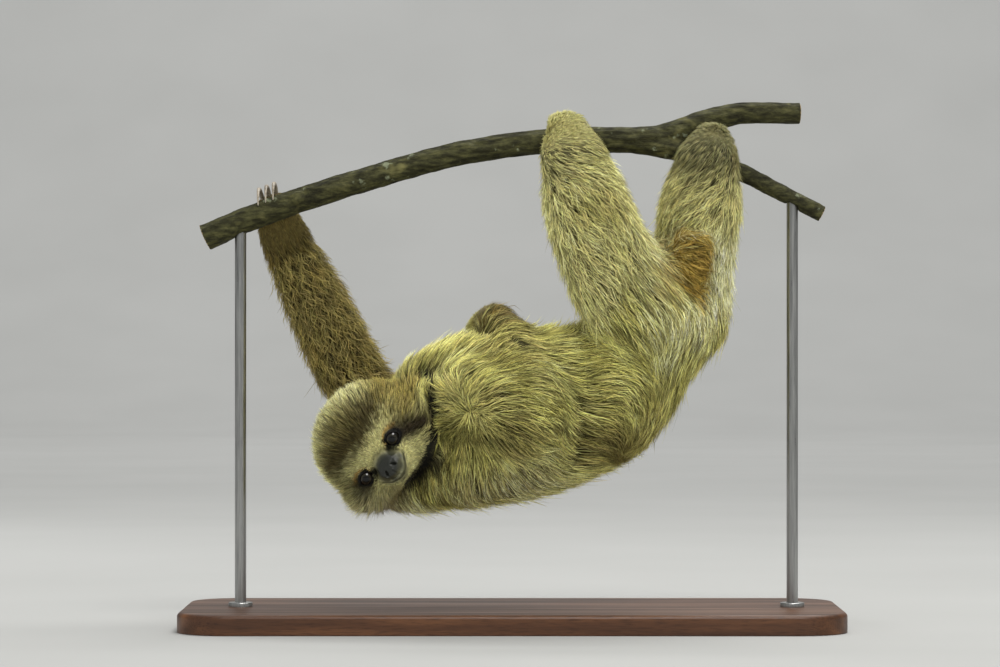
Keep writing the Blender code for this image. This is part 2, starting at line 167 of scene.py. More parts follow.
# The lie on the other sides: a place, then the way the coat runs there
HIDDEN_LIE = {
    "body": [
        ((-50, 60, 140), (0.2, 0, -1)), ((-20, 72, 165), (0.1, 0, -1)), ((-10, 72, 130), (0.2, 0, -1)),
        ((30, 68, 170), (0.1, 0, -1)), ((30, 65, 130), (0.2, -0.1, -1)), ((70, 50, 200), (-0.2, 0, -1)),
        ((85, 48, 160), (-0.4, -0.2, -0.9)), ((120, 40, 220), (-0.3, 0, -1)),
        ((-15, 6, 82), (0.7, -0.4, 0)), ((30, 5, 98), (0.8, -0.4, 0)), ((75, 4, 130), (0.5, -0.3, -0.4)),
        ((120, 2, 175), (-0.3, -0.2, -0.8)), ((-20, 20, 210), (0.3, 0.8, 0)), ((25, 20, 205), (0.3, 0.8, 0)),
        ((60, 25, 225), (0, 0.7, -0.3)), ((-80, 45, 120), (0.3, 0, -1)), ((-90, 10, 90), (0.6, -0.2, -0.6)),
    ],
    "right_leg": [
        ((37, 0, 300), (-0.4, -0.1, -0.9)), ((60, 5, 260), (0.1, 0.5, -0.85)),
        ((25, -25, 300), (0.3, -0.6, -0.75)),
        ((25, -20, 325), (0.3, -0.7, -0.65)), ((30, -25, 275), (0.3, -0.4, -0.85)),
        ((40, 5, 340), (0, 0.3, -0.9)), ((80, -25, 300), (0, 0.3, -1)), ((38, 0, 362), (0.8, 0.4, -0.1)),
    ],
    "left_leg": [
        ((132, 20, 300), (0, 0.2, -1)), ((128, 40, 255), (0, 0.2, -1)), ((165, 0, 290), (-0.1, 0.3, -1)),
        ((138, 10, 335), (0, 0.3, -1)), ((98, 0, 270), (0.1, 0.3, -1)), ((139, 0, 352), (-0.5, 0.4, -0.3)),
    ],
    "tail": [((124, -10, 262), (0.8, 0.3, 0.2)), ((124, -30, 278), (0.9, -0.2, 0.3))],
    "left_arm": [
        ((-168, 22, 290), (0.3, 0.15, -0.9)), ((-140, 60, 226), (0.4, 0.2, -0.9)),
        ((-130, 30, 200), (0.4, 0.2, -0.9)), ((-107, 85, 164), (0.7, 0, -0.6)),
        ((-75, 75, 150), (0.9, -0.1, -0.4)), ((-90, 50, 190), (0.7, 0.1, -0.6)),
        ((-75, 50, 118), (0.9, -0.1, -0.2)),
    ],
}  # fmt: skip
NOSE = (0, -36, -18)  # the head's coat runs away from here

# The camera, in metres
SENSOR = 36.0  # mm
CAMERA_PLACE = (-0.0084, -2.6, 0.205)
VIEW_WIDTH = 0.7  # seen across the stand

# The branch's sawn ends: a place on each and the way it faces
SAWN_ENDS = [
    ((-215, 1, 272), (-25, 1, -11)), ((203, 17, 360), (43, 3, 0)), ((217, -1, 288.5), (29, 1, -15)),
]  # fmt: skip

# Its knots: a place, a radius and a height
KNOTS = [((-22, -9, 344), 6.0, 2.2), ((96, -9, 346), 7.0, 1.2), ((-150, -9, 300), 5.0, 1.4)]

HEAD_NODE = FLESH.index("head")
FEET = [FLESH.index("left_foot"), FLESH.index("right_foot")]
WOOLLY = [FLESH.index(node) for group in ("left_leg", "right_leg", "left_arm") for node in GROUPS[group]]

LINE_STEPS = 9  # places along the middle line of a lock

rng = np.random.default_rng(20)


# ---------------------------------------------------------------- small helpers


def tone(red, green, blue):
    """A screen colour, 0 to 255, as the shaders' linear numbers."""
    c = np.array((red, green, blue)) / 255
    return np.where(c <= 0.04045, c / 12.92, ((c + 0.055) / 1.055) ** 2.4)


def soft(x, low, high):
    """0 at `low` and below, 1 at `high` and above, smooth between."""
    t = np.clip((x - low) / (high - low), 0, 1)
    return t * t * (3 - 2 * t)


def fade(x, low, high):
    """1 at `low` and below, 0 at `high` and above, smooth between."""
    return 1 - soft(x, low, high)


def bell(x, middle, width):
    return np.exp(-(((x - middle) / width) ** 2))


def unit(v):
    return v / np.maximum(np.linalg.norm(v, axis=-1, keepdims=True), 1e-9)


def tree_of(places):
    tree = KDTree(len(places))
    for i, place in enumerate(places):
        tree.insert(place, i)
    tree.balance()
    return tree


TURNS = ((HEAD_ROLL, "Y"), (HEAD_YAW, "Z"), (HEAD_PITCH, "X"))
ROLL, YAW, PITCH = (Matrix.Rotation(radians(angle), 4, axis) for angle, axis in TURNS)
HEAD = np.array(Matrix.Translation(HEAD_CENTRE) @ (ROLL @ YAW @ PITCH))
TO_HEAD = np.linalg.inv(HEAD)


def in_head(places):
    return places @ TO_HEAD[:3, :3].T + TO_HEAD[:3, 3]


def from_head(places):
    return places @ HEAD[:3, :3].T + HEAD[:3, 3]


def placed(name, data):
    """A new object that holds this mesh, lamp or camera."""
    made = bpy.data.objects.new(name, data)
    bpy.context.scene.collection.objects.link(made)
    return made


def link(name, bm, *materials):
    """Makes an object of a bmesh built in millimetres."""
    bm.transform(Matrix.Scale(MM, 4))
    mesh = bpy.data.meshes.new(name)
    bm.to_mesh(mesh)
    bm.free()
    for finish in materials:
        mesh.materials.append(finish)
    return placed(name, mesh)


def freeze(obj):
    """Applies the object's modifiers."""
    graph = bpy.context.evaluated_depsgraph_get()
    graph.update()
    mesh = bpy.data.meshes.new_from_object(obj.evaluated_get(graph))
    obj.modifiers.clear()
    obj.data = mesh
    return obj


def remesh(obj, voxel, smoothing):
    fuse = obj.modifiers.new("Fuse", "REMESH")
    fuse.mode = "VOXEL"
    fuse.voxel_size = voxel * MM
    ease = obj.modifiers.new("Ease", "SMOOTH")
    ease.factor, ease.iterations = 0.5, smoothing
    return freeze(obj)


def merged(node, swell=0.0):
    """A closed copy of a CAD node, in millimetres, swollen along its normals."""
    bm = bmesh.new()
    bm.from_mesh(frame["nodes"][node].data)
    bmesh.ops.remove_doubles(bm, verts=bm.verts, dist=1e-6)
    bmesh.ops.recalc_face_normals(bm, faces=bm.faces)
    bm.transform(Matrix.Scale(1 / MM, 4))
    bm.normal_update()
    for v in bm.verts:
        v.co += v.normal * swell
    return bm


def joined(parts):
    """One bmesh of several, and for each face the index of the one it came from."""
    whole = bmesh.new()
    part_of = []
    for i, bm in enumerate(parts):
        passing = bpy.data.meshes.new("passing")
        bm.to_mesh(passing)
        bm.free()
        before = len(whole.faces)
        whole.from_mesh(passing)
        part_of += [i] * (len(whole.faces) - before)
        bpy.data.meshes.remove(passing)
    whole.normal_update()
    return whole, np.array(part_of)


# ---------------------------------------------------------------- finishes


class Finish:
    """Builds one material's nodes."""

    def __init__(self, name, roughness=0.5, metallic=0.0, specular=0.5):
        self.material = bpy.data.materials.new(name)
        self.material.use_nodes = True
        self.tree = self.material.node_tree
        self.shader = self.tree.nodes["Principled BSDF"]
        self.shader.inputs["Roughness"].default_value = roughness
        self.shader.inputs["Metallic"].default_value = metallic
        self.shader.inputs["Specular IOR Level"].default_value = specular
        self.place = self.node("ShaderNodeTexCoord").outputs["Object"]

    def node(self, kind, **settings):
        made = self.tree.nodes.new(kind)
        for key, value in settings.items():
            if key in made.inputs:
                made.inputs[key].default_value = value
            else:
                setattr(made, key, value)
        return made

    def wire(self, out, into):
        self.tree.links.new(out, into)
        return into

    def drawn(self, scale):
        """The piece's own places, drawn out or pressed together."""
        mapping = self.node("ShaderNodeMapping", Scale=scale)
        self.wire(self.place, mapping.inputs["Vector"])
        return mapping.outputs["Vector"]

    def noise(self, scale, detail=4.0, vector=None, rough=0.55):
        made = self.node("ShaderNodeTexNoise", Scale=scale, Detail=detail, Roughness=rough)
        self.wire(self.place if vector is None else vector, made.inputs["Vector"])
        return made.outputs["Fac"]

    def ramp(self, value, *stops):
        made = self.node("ShaderNodeValToRGB")
        while len(made.color_ramp.elements) < len(stops):
            made.color_ramp.elements.new(0.5)
        for element, (where, colour) in zip(made.color_ramp.elements, stops):
            element.position = where
            element.color = (*colour, 1.0)
        self.wire(value, made.inputs["Fac"])
        return made.outputs["Color"]

    def mix(self, kind, share, first, second):
        made = self.node("ShaderNodeMix", data_type="RGBA", blend_type=kind)
        for socket, value in ((made.inputs[0], share), (made.inputs[6], first), (made.inputs[7], second)):
            if isinstance(value, bpy.types.NodeSocket):
                self.wire(value, socket)
            else:
                socket.default_value = value if isinstance(value, float) else (*value, 1.0)
        return made.outputs[2]

    def level(self, value, low, high, to_low=0.0, to_high=1.0):
        made = self.node("ShaderNodeMapRange")
        for i, number in enumerate((low, high, to_low, to_high), 1):
            made.inputs[i].default_value = number
        self.wire(value, made.inputs[0])
        return made.outputs[0]

    def colour(self, value):
        self.wire(value, self.shader.inputs["Base Color"])

    def roughness(self, value):
        self.wire(value, self.shader.inputs["Roughness"])

    def bump(self, height, strength, distance):
        made = self.node("ShaderNodeBump", Strength=strength, Distance=distance)
        self.wire(height, made.inputs["Height"])
        self.wire(made.outputs["Normal"], self.shader.inputs["Normal"])

    def attribute(self, name, out="Color"):
        return self.node("ShaderNodeAttribute", attribute_name=name).outputs[out]

    def times(self, first, second):
        return self.mix("MULTIPLY", 1.0, first, second)

    def vector(self, operation, first, second=(0, 0, 0), out="Vector"):
        made = self.node("ShaderNodeVectorMath", operation=operation)
        self.wire(first, made.inputs[0])
        made.inputs[1].default_value = second
        return made.outputs[out]


def skin_finish():
    made = Finish("Skin", roughness=0.62, specular=0.5)
    mottle = made.ramp(made.noise(420.0, 5.0), (0.3, (0.72, 0.72, 0.72)), (0.7, (1.15, 1.12, 1.08)))
    made.colour(made.times(made.attribute("Marking"), mottle))
    made.roughness(made.level(made.attribute("Bare", "Fac"), 0.0, 1.0, 1.0, 0.4))
    grain = made.node("ShaderNodeTexVoronoi", Scale=1500.0)
    made.wire(made.place, grain.inputs["Vector"])
    made.bump(grain.outputs["Distance"], 0.55, 0.0003)
    return made.material


def coat_finish():
    made = Finish("Coat", roughness=0.6, specular=0.22)
    flecks = made.ramp(made.noise(240.0, 2.0), (0.3, (0.86, 0.86, 0.84)), (0.7, (1.1, 1.1, 1.08)))
    made.colour(made.times(made.attribute("Marking"), flecks))
    return made.material


def eye_finish(name, centre, gaze):
    """Rings round the gaze: pupil, iris, dark rim, and the brown ball."""
    made = Finish(name, roughness=0.1, specular=0.34)
    offset = made.vector("SUBTRACT", made.place, Vector(centre) * MM)
    radius = made.vector("LENGTH", made.vector("CROSS_PRODUCT", offset, gaze), out="Value")
    rings = made.ramp(
        made.level(radius, 0.0, EYE_RADIUS * MM),
        (0.0, tone(4, 4, 5)), (0.34, tone(6, 6, 6)), (0.42, tone(26, 24, 18)), (0.6, tone(42, 38, 28)),
        (0.69, tone(14, 12, 9)), (0.78, tone(9, 7, 6)), (1.0, tone(16, 12, 9)),
    )  # fmt: skip
    made.colour(made.times(rings, made.ramp(made.noise(900.0), (0.3, (0.7,) * 3), (0.7, (1.25,) * 3))))
    return made.material


def claw_finish():
    made = Finish("Horn", roughness=0.36, specular=0.45)
    along = made.noise(160.0, 5.0)
    horn = made.ramp(along, (0.25, tone(96, 86, 72)), (0.5, tone(146, 136, 120)), (0.8, tone(178, 168, 152)))
    dirt = made.ramp(made.noise(700.0, 2.0), (0.55, (1, 1, 1)), (0.72, tone(110, 96, 76)))
    made.colour(made.times(horn, dirt))
    made.roughness(made.level(along, 0.3, 0.7, 0.28, 0.5))
    made.bump(made.noise(900.0, 3.0), 0.25, 0.0004)
    return made.material


def bark_finish():
    made = Finish("Bark", roughness=0.85, specular=0.25)
    drawn = made.drawn((0.35, 1, 1))
    grain = made.noise(260.0, 6.0, drawn, 0.65)
    browns = made.ramp(
        grain, (0.28, tone(18, 17, 9)), (0.45, tone(42, 41, 22)), (0.6, tone(66, 65, 36)),
        (0.78, tone(98, 94, 58)),
    )  # fmt: skip
    lichen = made.ramp(made.noise(95.0), (0.64, (0, 0, 0)), (0.7, (1, 1, 1)))
    worn = made.level(made.noise(38.0, 3.0), 0.6, 0.72)
    bark = made.mix("MIX", worn, browns, tone(112, 108, 66))
    made.colour(made.mix("MIX", made.level(lichen, 0.0, 1.0, 0.0, 0.4), bark, tone(158, 166, 136)))
    made.roughness(made.level(grain, 0.3, 0.7, 0.95, 0.7))
    made.bump(made.noise(900.0, 6.0, drawn), 0.6, 0.0012)
    return made.material


def sawn_finish():
    made = Finish("Sawn", roughness=0.8, specular=0.25)
    made.colour(made.ramp(made.noise(500.0), (0.3, tone(132, 110, 76)), (0.7, tone(176, 154, 112))))
    made.bump(made.noise(1600.0, 2.0), 0.3, 0.0005)
    return made.material


def board_finish():
    made = Finish("Board", roughness=0.42, specular=0.4)
    drawn = made.drawn((0.06, 1, 1))
    waves, pores = made.noise(60.0, 6.0, drawn, 0.6), made.noise(1400.0, 2.0, drawn)
    wood = made.ramp(waves, (0.3, tone(46, 27, 16)), (0.5, tone(78, 48, 28)), (0.7, tone(108, 70, 42)))
    made.colour(made.times(wood, made.ramp(pores, (0.35, (0.6, 0.58, 0.56)), (0.5, (1, 1, 1)))))
    made.roughness(made.level(waves, 0.3, 0.7, 0.5, 0.34))
    made.bump(pores, 0.15, 0.0004)
    return made.material


def steel_finish():
    made = Finish("Steel", roughness=0.32, metallic=1.0)
    brushed = made.noise(700.0, 4.0, made.drawn((1, 1, 0.04)))
    made.colour(made.ramp(brushed, (0.3, tone(150, 150, 150)), (0.7, tone(190, 190, 188))))
    made.roughness(made.level(brushed, 0.3, 0.7, 0.26, 0.42))
    return made.material


def floor_finish():
    made = Finish("Floor", roughness=0.9, specular=0.2)
    made.colour(made.ramp(made.noise(3.0, 2.0), (0.3, (0.40, 0.40, 0.39)), (0.7, (0.42, 0.42, 0.41))))
    return made.material


# ---------------------------------------------------------------- skin


def rows_of(items, name, width, kind=np.float32):
    """One setting of all of a mesh's items, a row for each."""
    values = np.empty(len(items) * width, kind)
    items.foreach_get(name, values)
    return values.reshape(-1, width)


class Surface:
    """A mesh's points, triangles, normals and neighbours as arrays, in millimetres."""

    def __init__(self, obj):
        mesh = obj.data
        mesh.calc_loop_triangles()
        self.points = rows_of(mesh.vertices, "co", 3).astype(float) / MM
        self.normals = rows_of(mesh.vertices, "normal", 3).astype(float)
        self.triangles = rows_of(mesh.loop_triangles, "vertices", 3, np.int32)
        self.corners = rows_of(mesh.loop_triangles, "loops", 3, np.int32)
        self.edges = rows_of(mesh.edges, "vertices", 2, np.int32)
        self.near = np.bincount(self.edges.ravel(), minlength=len(self.points))

    def amounts(self, density):
        """How much of a thing each triangle holds, from its density at the points."""
        a, b, c = self.points[self.triangles].transpose(1, 0, 2)
        return np.linalg.norm(np.cross(b - a, c - a), axis=1) / 2 * density[self.triangles].mean(1)

    def carried(self, values, face, shares):
        """The points' values at places on the triangles."""
        return np.einsum("nk,nk...->n...", shares, values[self.triangles[face]])

    def eased(self, values, rounds, normals=None):
        """Each point's value averaged with its neighbours', some rounds over."""
        values = np.array(values, float)
        flat = values.reshape(len(values), -1)
        a, b = self.edges.T
        for _ in range(rounds):
            total = flat.copy()
            for column in range(flat.shape[1]):
                total[:, column] += np.bincount(a, flat[b, column], len(flat))
                total[:, column] += np.bincount(b, flat[a, column], len(flat))
            flat = total / (1 + self.near[:, None])
            if normals is not None:
                flat = unit(flat - (flat * normals).sum(1, keepdims=True) * normals)
        return flat.reshape(values.shape)

    def tree(self):
        return BVHTree.FromPolygons(self.points.tolist(), self.triangles.tolist())


def set_points(obj, points):
    obj.data.vertices.foreach_set("co", (points * MM).astype(np.float32).ravel())
    obj.data.update()


def face_share(places):
    """1 on the short-haired face, 0 on the crown, the cheeks' backs and the rest."""
    x, y, z = in_head(places).T
    return fade(np.abs(x), 22, 34) * soft(-y, 10, 22) * fade(z, 6, 18) * soft(z, -42, -35)


def nearest_node(places, tree, part_of):
    return np.array([part_of[tree.find_nearest(Vector(p))[2]] for p in places])


def coat_numbers(places, node_of):
    """Each place's row of COATS, with the face's own in the face."""
    found = np.array([COATS[node] for node in FLESH])[node_of]
    face = (face_share(places) * (node_of == HEAD_NODE))[:, None]
    return found * (1 - face) + np.array(FACE_COAT) * face


def leg_numbers(numbers, places, node_of):
    """Lets the legs' long coat run on up the sides of the feet."""
    up = np.isin(node_of, FEET)[:, None] * fade(places[:, 2:], 318, 348)
    return numbers * (1 - up) + np.array(COATS["left_shin"]) * up


def oval(x, z, middle, radii):
    """How far out from the middle of an oval each place is: 1 on its rim."""
    return np.hypot((x - middle[0]) / radii[0], (z - middle[1]) / radii[1])


def muzzle_out(h):
    """How far out from the middle of the muzzle: 1 round the edge of its dark skin."""
    return np.hypot(h[:, 0], h[:, 2] + 17.0) / 12.6


def almond(h, side):
    """How far out of an eye's opening a place in the head is: 1 on the lids' edges."""
    dx, dz = h[:, 0] * side - EYE_SPREAD, h[:, 2] - EYE_HEIGHT
    return oval(dx, dz + 0.022 * dx**2, (0, 0), (5.2, 4.0))


def mouth_height(x):
    return -28.0 + 0.052 * np.minimum(np.abs(x), 16.5) ** 2


def sculpted(h):
    """The face's folds: lids round the eyes, nose, nostrils, lips and mouth. `h` is in the head."""
    h = h.copy()
    front = soft(-h[:, 1], 8, 16)
    x, z = h[:, 0], h[:, 2]
    nose = oval(x, z, (0, -15.5), (10.5, 8.0))
    h[:, 1] -= front * 1.2 * fade(nose, 0.7, 1.12)
    for side in (-1, 1):
        slant = side * x + 0.45 * (z + 17.5)
        h[:, 1] += front * 2.4 * fade(oval(slant, z, (4.2, -17.5), (1.35, 2.0)), 0.3, 1.15)
        h[:, 1] -= front * 0.6 * fade(oval(side * x, z, (6.8, -18.5), (1.6, 3.2)), 0.2, 1.2)
    h[:, 1] += front * 0.6 * bell(nose, 1.14, 0.08) * soft(-z, 11, 15)
    h[:, 1] += front * 0.5 * fade(np.abs(x), 0.16, 1.04) * soft(-z, 18, 20) * fade(-z, 26, 28)
    lips = (z - mouth_height(x)) / 0.8
    folds = 1.1 * bell(lips, 0, 1) - 0.5 * bell(lips, 2.2, 1.3) - 0.55 * bell(lips, -2.4, 1.6)
    h[:, 1] += front * fade(np.abs(x), 14.5, 17.5) * folds
    for side in (-1, 1):
        out = almond(h, side)
        flat = (h[:, 0] - side * EYE_SPREAD) ** 2 + (h[:, 2] - EYE_HEIGHT) ** 2
        lid = -EYE_FORWARD - np.sqrt(np.maximum((EYE_RADIUS + 0.45) ** 2 - flat, 0.0))
        near = front * fade(out, 1.3, 2.1)
        h[:, 1] = h[:, 1] * (1 - near) + (lid - 0.25 * bell(out, 1.12, 0.1)) * near
        h[:, 1] += front * 0.45 * bell(out, 1.75, 0.2)
        pit = front * fade(out, 0.9, 1.02)
        h[:, 1] = h[:, 1] * (1 - pit) + (1.5 - EYE_FORWARD) * pit
    return h


def in_detail(places, reach):
    """Whether each place is within `reach` of the face's fine part."""
    x, y, z = in_head(places).T
    return (y < -10) & (np.abs(x) < 27 + reach) & (z < 5 + reach) & (z > -36 - reach)


def refine(obj, reach):
    """Splits the edges of the face."""
    bm = bmesh.new()
    bm.from_mesh(obj.data)
    inside = in_detail(np.array([v.co for v in bm.verts]) / MM, reach)
    edges = [e for e in bm.edges if all(inside[v.index] for v in e.verts)]
    bmesh.ops.subdivide_edges(bm, edges=edges, cuts=1, use_grid_fill=True)
    bmesh.ops.triangulate(bm, faces=[f for f in bm.faces if len(f.verts) > 4])
    bm.to_mesh(obj.data)
    bm.free()


def claw_distance(places):
    """How far each place is from the nearest claw."""
    tree = tree_of([v.co / MM for node in claws for v in frame["nodes"][node].data.vertices])
    return np.array([tree.find(Vector(p))[2] for p in places])


def make_skin():
    """The skin, with the solids' outer surface that the coat's tips reach."""
    whole, _ = joined([merged(node, SEAM) for node in FLESH + EYES])
    skin = link("skin", whole)
    remesh(skin, SKIN_VOXEL, 4)
    outer = Surface(skin)
    solids, part_of = joined([merged(node) for node in FLESH])
    node_of = nearest_node(outer.points, BVHTree.FromBMesh(solids), part_of)
    solids.free()
    depth = outer.eased(coat_numbers(outer.points, node_of)[:, DEPTH], 14)
    depth *= soft(claw_distance(outer.points), 1.5, 8.0)
    inner = outer.points - unit(outer.eased(outer.normals, 4)) * depth[:, None]
    feet = outer.eased(np.isin(node_of, FEET) * soft(inner[:, 2], 325, 345), 12)[:, None]
    set_points(skin, inner * (1 - feet) + outer.eased(inner, 45) * feet)
    remesh(skin, SKIN_VOXEL, 5)
    refine(skin, 4)
    refine(skin, 0)
    points = Surface(skin).points
    carved = from_head(sculpted(in_head(points)))
    set_points(skin, np.where(in_detail(points, 3)[:, None], carved, points))
    skin.data.shade_smooth()
    return skin, outer, node_of


def unwrap(obj):
    """Adds the unwrap of the skin's own shape that skin and coat share."""
    bpy.context.view_layer.objects.active = obj
    for other in bpy.context.selected_objects:
        other.select_set(False)
    obj.select_set(True)
    obj.data.uv_layers.new(name="OFBake")
    bpy.ops.object.mode_set(mode="EDIT")
    bpy.ops.mesh.select_all(action="SELECT")
    bpy.ops.uv.smart_project(angle_limit=radians(66), island_margin=0.002)
    bpy.ops.object.mode_set(mode="OBJECT")


# ---------------------------------------------------------------- markings

BUFF = tone(216, 209, 134)
STRAW = tone(196, 189, 113)
OLIVE = tone(152, 146, 79)
PALE = tone(242, 234, 172)
# painted sunlight: the brightest pale, laid on the thigh's crest
SUNLIT_CREAM = tone(255, 246, 168)
BROWN = tone(124, 112, 64)
ARM_BROWN = tone(150, 136, 80)
HAND_BROWN = tone(126, 111, 62)
TAIL_BROWN = tone(168, 142, 68)
FOOT_TAN = tone(184, 179, 116)
# painted shade: the far foot gets a darker copy of the feet's tan
FAR_FOOT_SHADED_TAN = tone(150, 146, 102)
MASK = tone(214, 208, 146)
CHEEK = tone(146, 140, 90)
TEMPLE = tone(152, 138, 74)
CROWN_DARK = tone(84, 75, 43)
CROWN = tone(118, 109, 66)
# painted rim light: the pale tone laid along the head's outline
PAINTED_RIM_LIGHT = tone(224, 218, 156)
STRIPE = tone(46, 36, 22)
ORANGE = tone(196, 146, 62)
# The throat's dark brown; the same tone is laid on as painted shadow in the throat's crease, under the chin
# and past the cape's ridge
DARK_BROWN_AND_SHADOW = tone(40, 35, 20)
NOSE_PAD = tone(30, 32, 26)
LIP = tone(90, 90, 66)
LINE = tone(12, 10, 8)
LID = tone(15, 12, 9)


# Patches of the body's coat, in the order that they cover each other: tone, centre, radii, share
PATCHES = [
    # painted sunlight: this row and the next brighten the thighs, the next a brighter copy of the pale
    (PALE, (112, -30, 245), (48, 60, 52), 1.0),
    (PALE * 1.15, (146, -20, 256), (26, 50, 40), 1.0),
    # painted shade on the lower flank
    (BROWN, (68, -30, 130), (58, 60, 30), 0.8),
    # painted highlight on the cape's ridge
    (BUFF, (36, -50, 160), (14, 40, 30), 0.6),
    (BUFF, (14, -60, 132), (24, 40, 22), 0.8),
    (BROWN, (-20, -40, 194), (40, 60, 26), 0.35),
    (PALE, (-6, -50, 100), (70, 60, 34), 0.85),
    # painted sunlight on the thigh's crest: this row and the next
    (PALE, (100, -40, 228), (14, 30, 14), 0.8),
    (SUNLIT_CREAM, (106, -40, 224), (36, 60, 38), 0.9),
    (BROWN, (-6, -50, 139), (20, 40, 16), 0.55),
    # painted shade on the flank's back edge
    (BROWN, (97, 0, 148), (40, 60, 26), 0.3),
    (OLIVE, (56, -50, 296), (24, 30, 16), 0.5),
]


def blend(colour, over, share):
    return colour * (1 - share[:, None]) + over * share[:, None]


def layered(base, *layers):
    """A tone with others laid over it in turn, each by its share at every place."""
    colour = np.tile(base, (len(layers[0][1]), 1))
    for over, share in layers:
        colour = blend(colour, over, share)
    return colour


def spot(places, centre, radii):
    """1 at the centre, 0 beyond the radii, smooth between."""
    return fade(np.linalg.norm((places - np.array(centre)) / np.array(radii), axis=1), 0.35, 1.0)


def streaks_of(places, scale):
    return np.array([noise.noise(Vector(p) * scale) for p in places])


def snout_share(h):
    """1 on the dark skin of the nose and upper lip, gone gradually towards the bridge."""
    high = soft(h[:, 2], -20, -10)
    out = muzzle_out(h)
    around = fade(out, 0.9, 1.1) * (1 - high) + fade(out, 0.7, 1.16) * high
    return around * soft(h[:, 2] - mouth_height(h[:, 0]), -2.4, 0.4)


def mouth_share(h):
    """1 in the line of the mouth."""
    line = bell(h[:, 2], mouth_height(h[:, 0]), 0.65)
    return line * fade(np.abs(h[:, 0]), 15.5, 18.5) * soft(-h[:, 1], 14, 20)


def eyes_out(h):
    return np.minimum(almond(h, 1), almond(h, -1))


def bare_share(h):
    """1 on the bare skin of nose, lips and lids."""
    shares = soft(snout_share(h), 0.45, 0.95), 0.9 * mouth_share(h), fade(eyes_out(h), 1.0, 1.14)
    return np.max(shares, axis=0) * soft(-h[:, 1], 14, 20)


def stripe_share(x, z, streak):
    """1 on the dark stripe that runs back from the corner of each eye, wide at the eye."""
    start, end = np.array((21.5, -10.0)), np.array((32.0, -20.5))
    run = end - start
    t = np.clip(((x - start[0]) * run[0] + (z - start[1]) * run[1]) / (run @ run), 0, 1)
    away = np.hypot(x - start[0] - t * run[0], z - start[1] - t * run[1])
    return fade(away / (2.4 - 1.2 * t) + 0.7 * streak, 1.0, 4.4)


def head_markings(h):
    streak = streaks_of(h, 0.3)
    x, y, z = np.abs(h[:, 0]), h[:, 1], h[:, 2]
    crown_line = z - 6 - 0.12 * x + 4 * streak
    back = np.maximum(soft(crown_line, -6, 3), soft(y + 4 * streak, -6, 6))
    # a pale band painted along the head's outline at the crown and down the animal's right cheek: painted
    # rim light
    crown_rim_light = soft(z + 3 * streak, 10, 24) * soft(y + 3 * streak, -19, -7)
    cheek_rim_light = soft(3 * streak - h[:, 0], 26, 35) * soft(y + 3 * streak, -19, -9)
    ring = eyes_out(h)
    above = soft(z - EYE_HEIGHT - 0.25 * (x - EYE_SPREAD), -1.0, 2.5)
    # darker under the chin: partly the throat's brown, partly painted shade under the head
    under = soft(-z - 0.15 * x + 1.1 * y, 13, 22) * fade(y, -6, 4)
    tear = oval(x, z, (10.6, -9.6), (2.8, 2.3))
    pad = oval(x, z, (0, -15.4), (11.0, 8.6))
    front = soft(-y, 14, 20)
    return layered(
        MASK,
        (CHEEK, soft(x, 16, 32)),
        (CROWN_DARK, back),
        (CROWN, back * soft(crown_line, 4, 14)),
        (PAINTED_RIM_LIGHT, back * crown_rim_light * 0.9),
        (TEMPLE, soft(h[:, 0] + 4 * streak, 20, 38) * soft(z, -16, -6)),
        (PAINTED_RIM_LIGHT, cheek_rim_light * 0.9),
        (OLIVE, soft(y + 4 * streak, 3, 14) * (1 - 0.7 * soft(z, 10, 30))),
        (ORANGE, above * bell(ring, 1.62, 0.2) * 0.8),
        (STRIPE, stripe_share(x, z, streak) * 0.97),
        (DARK_BROWN_AND_SHADOW, under * 0.85),
        (LID, np.maximum(fade(ring, 1.32, 1.55), fade(tear, 0.8, 1.4))),
        (LIP * (1 + 0.9 * streak[:, None]), snout_share(h) * front),
        (NOSE_PAD, fade(pad, 0.6, 1.15) * front),
        (LINE, mouth_share(h) * (0.45 + 0.5 * soft(x, 7, 13))),
    )


def bump_share(places):
    """1 on the brown forearm that shows over the shoulders."""
    return spot(places, (-17, 0, 216), (24, 46, 20))


def ruff_share(places):
    """1 on the pale hair that stands out below the head."""
    return spot(places, (-86, -20, 84), (38, 46, 22))


def body_markings(places, node_of):
    z = places[:, 2]
    streaks = streaks_of(places, 0.06)
    node = np.array(FLESH)[node_of]
    near_leg, far_leg, arm = (np.isin(node, GROUPS[name]) for name in ("right_leg", "left_leg", "left_arm"))
    fan = soft(spot(places, (112, -35, 257), (34, 60, 31)) + 0.6 * streaks, 0.1, 0.8)
    past = ridge_side(places)
    return layered(
        STRAW,
        (BUFF, soft(streaks, -0.05, 0.45) * 0.8),
        (OLIVE, soft(-streaks, 0.05, 0.45) * 0.7),
        # the legs' coat paler all round, as painted sunlight
        (PALE, (near_leg | far_leg) * 0.45),
        *((over, spot(places, centre, radii) * share) for over, centre, radii, share in PATCHES),
        (FOOT_TAN, near_leg * soft(z + 14 * streaks, 326, 356)),
        # painted shade on the far foot
        (FAR_FOOT_SHADED_TAN, far_leg * soft(z + 14 * streaks, 296, 342)),
        (ARM_BROWN, arm),
        (HAND_BROWN, (node == "left_hand") * 0.8),
        # the forearm over the shoulders: the hand's brown, darkened by painted shade where it lies behind
        # the shoulders' coat
        (HAND_BROWN * 0.6, bump_share(places) * 0.95),
        (TAIL_BROWN, np.where(node == "tail", np.maximum(fan, 0.75), 0.6 * fan)),
        # painted highlight along the cape's ridge, then painted shadow just past it
        (BUFF, bell(past, -4, 4.0) * 0.6),
        (DARK_BROWN_AND_SHADOW, bell(past, 4.5, 2.2) * 0.15),
    )


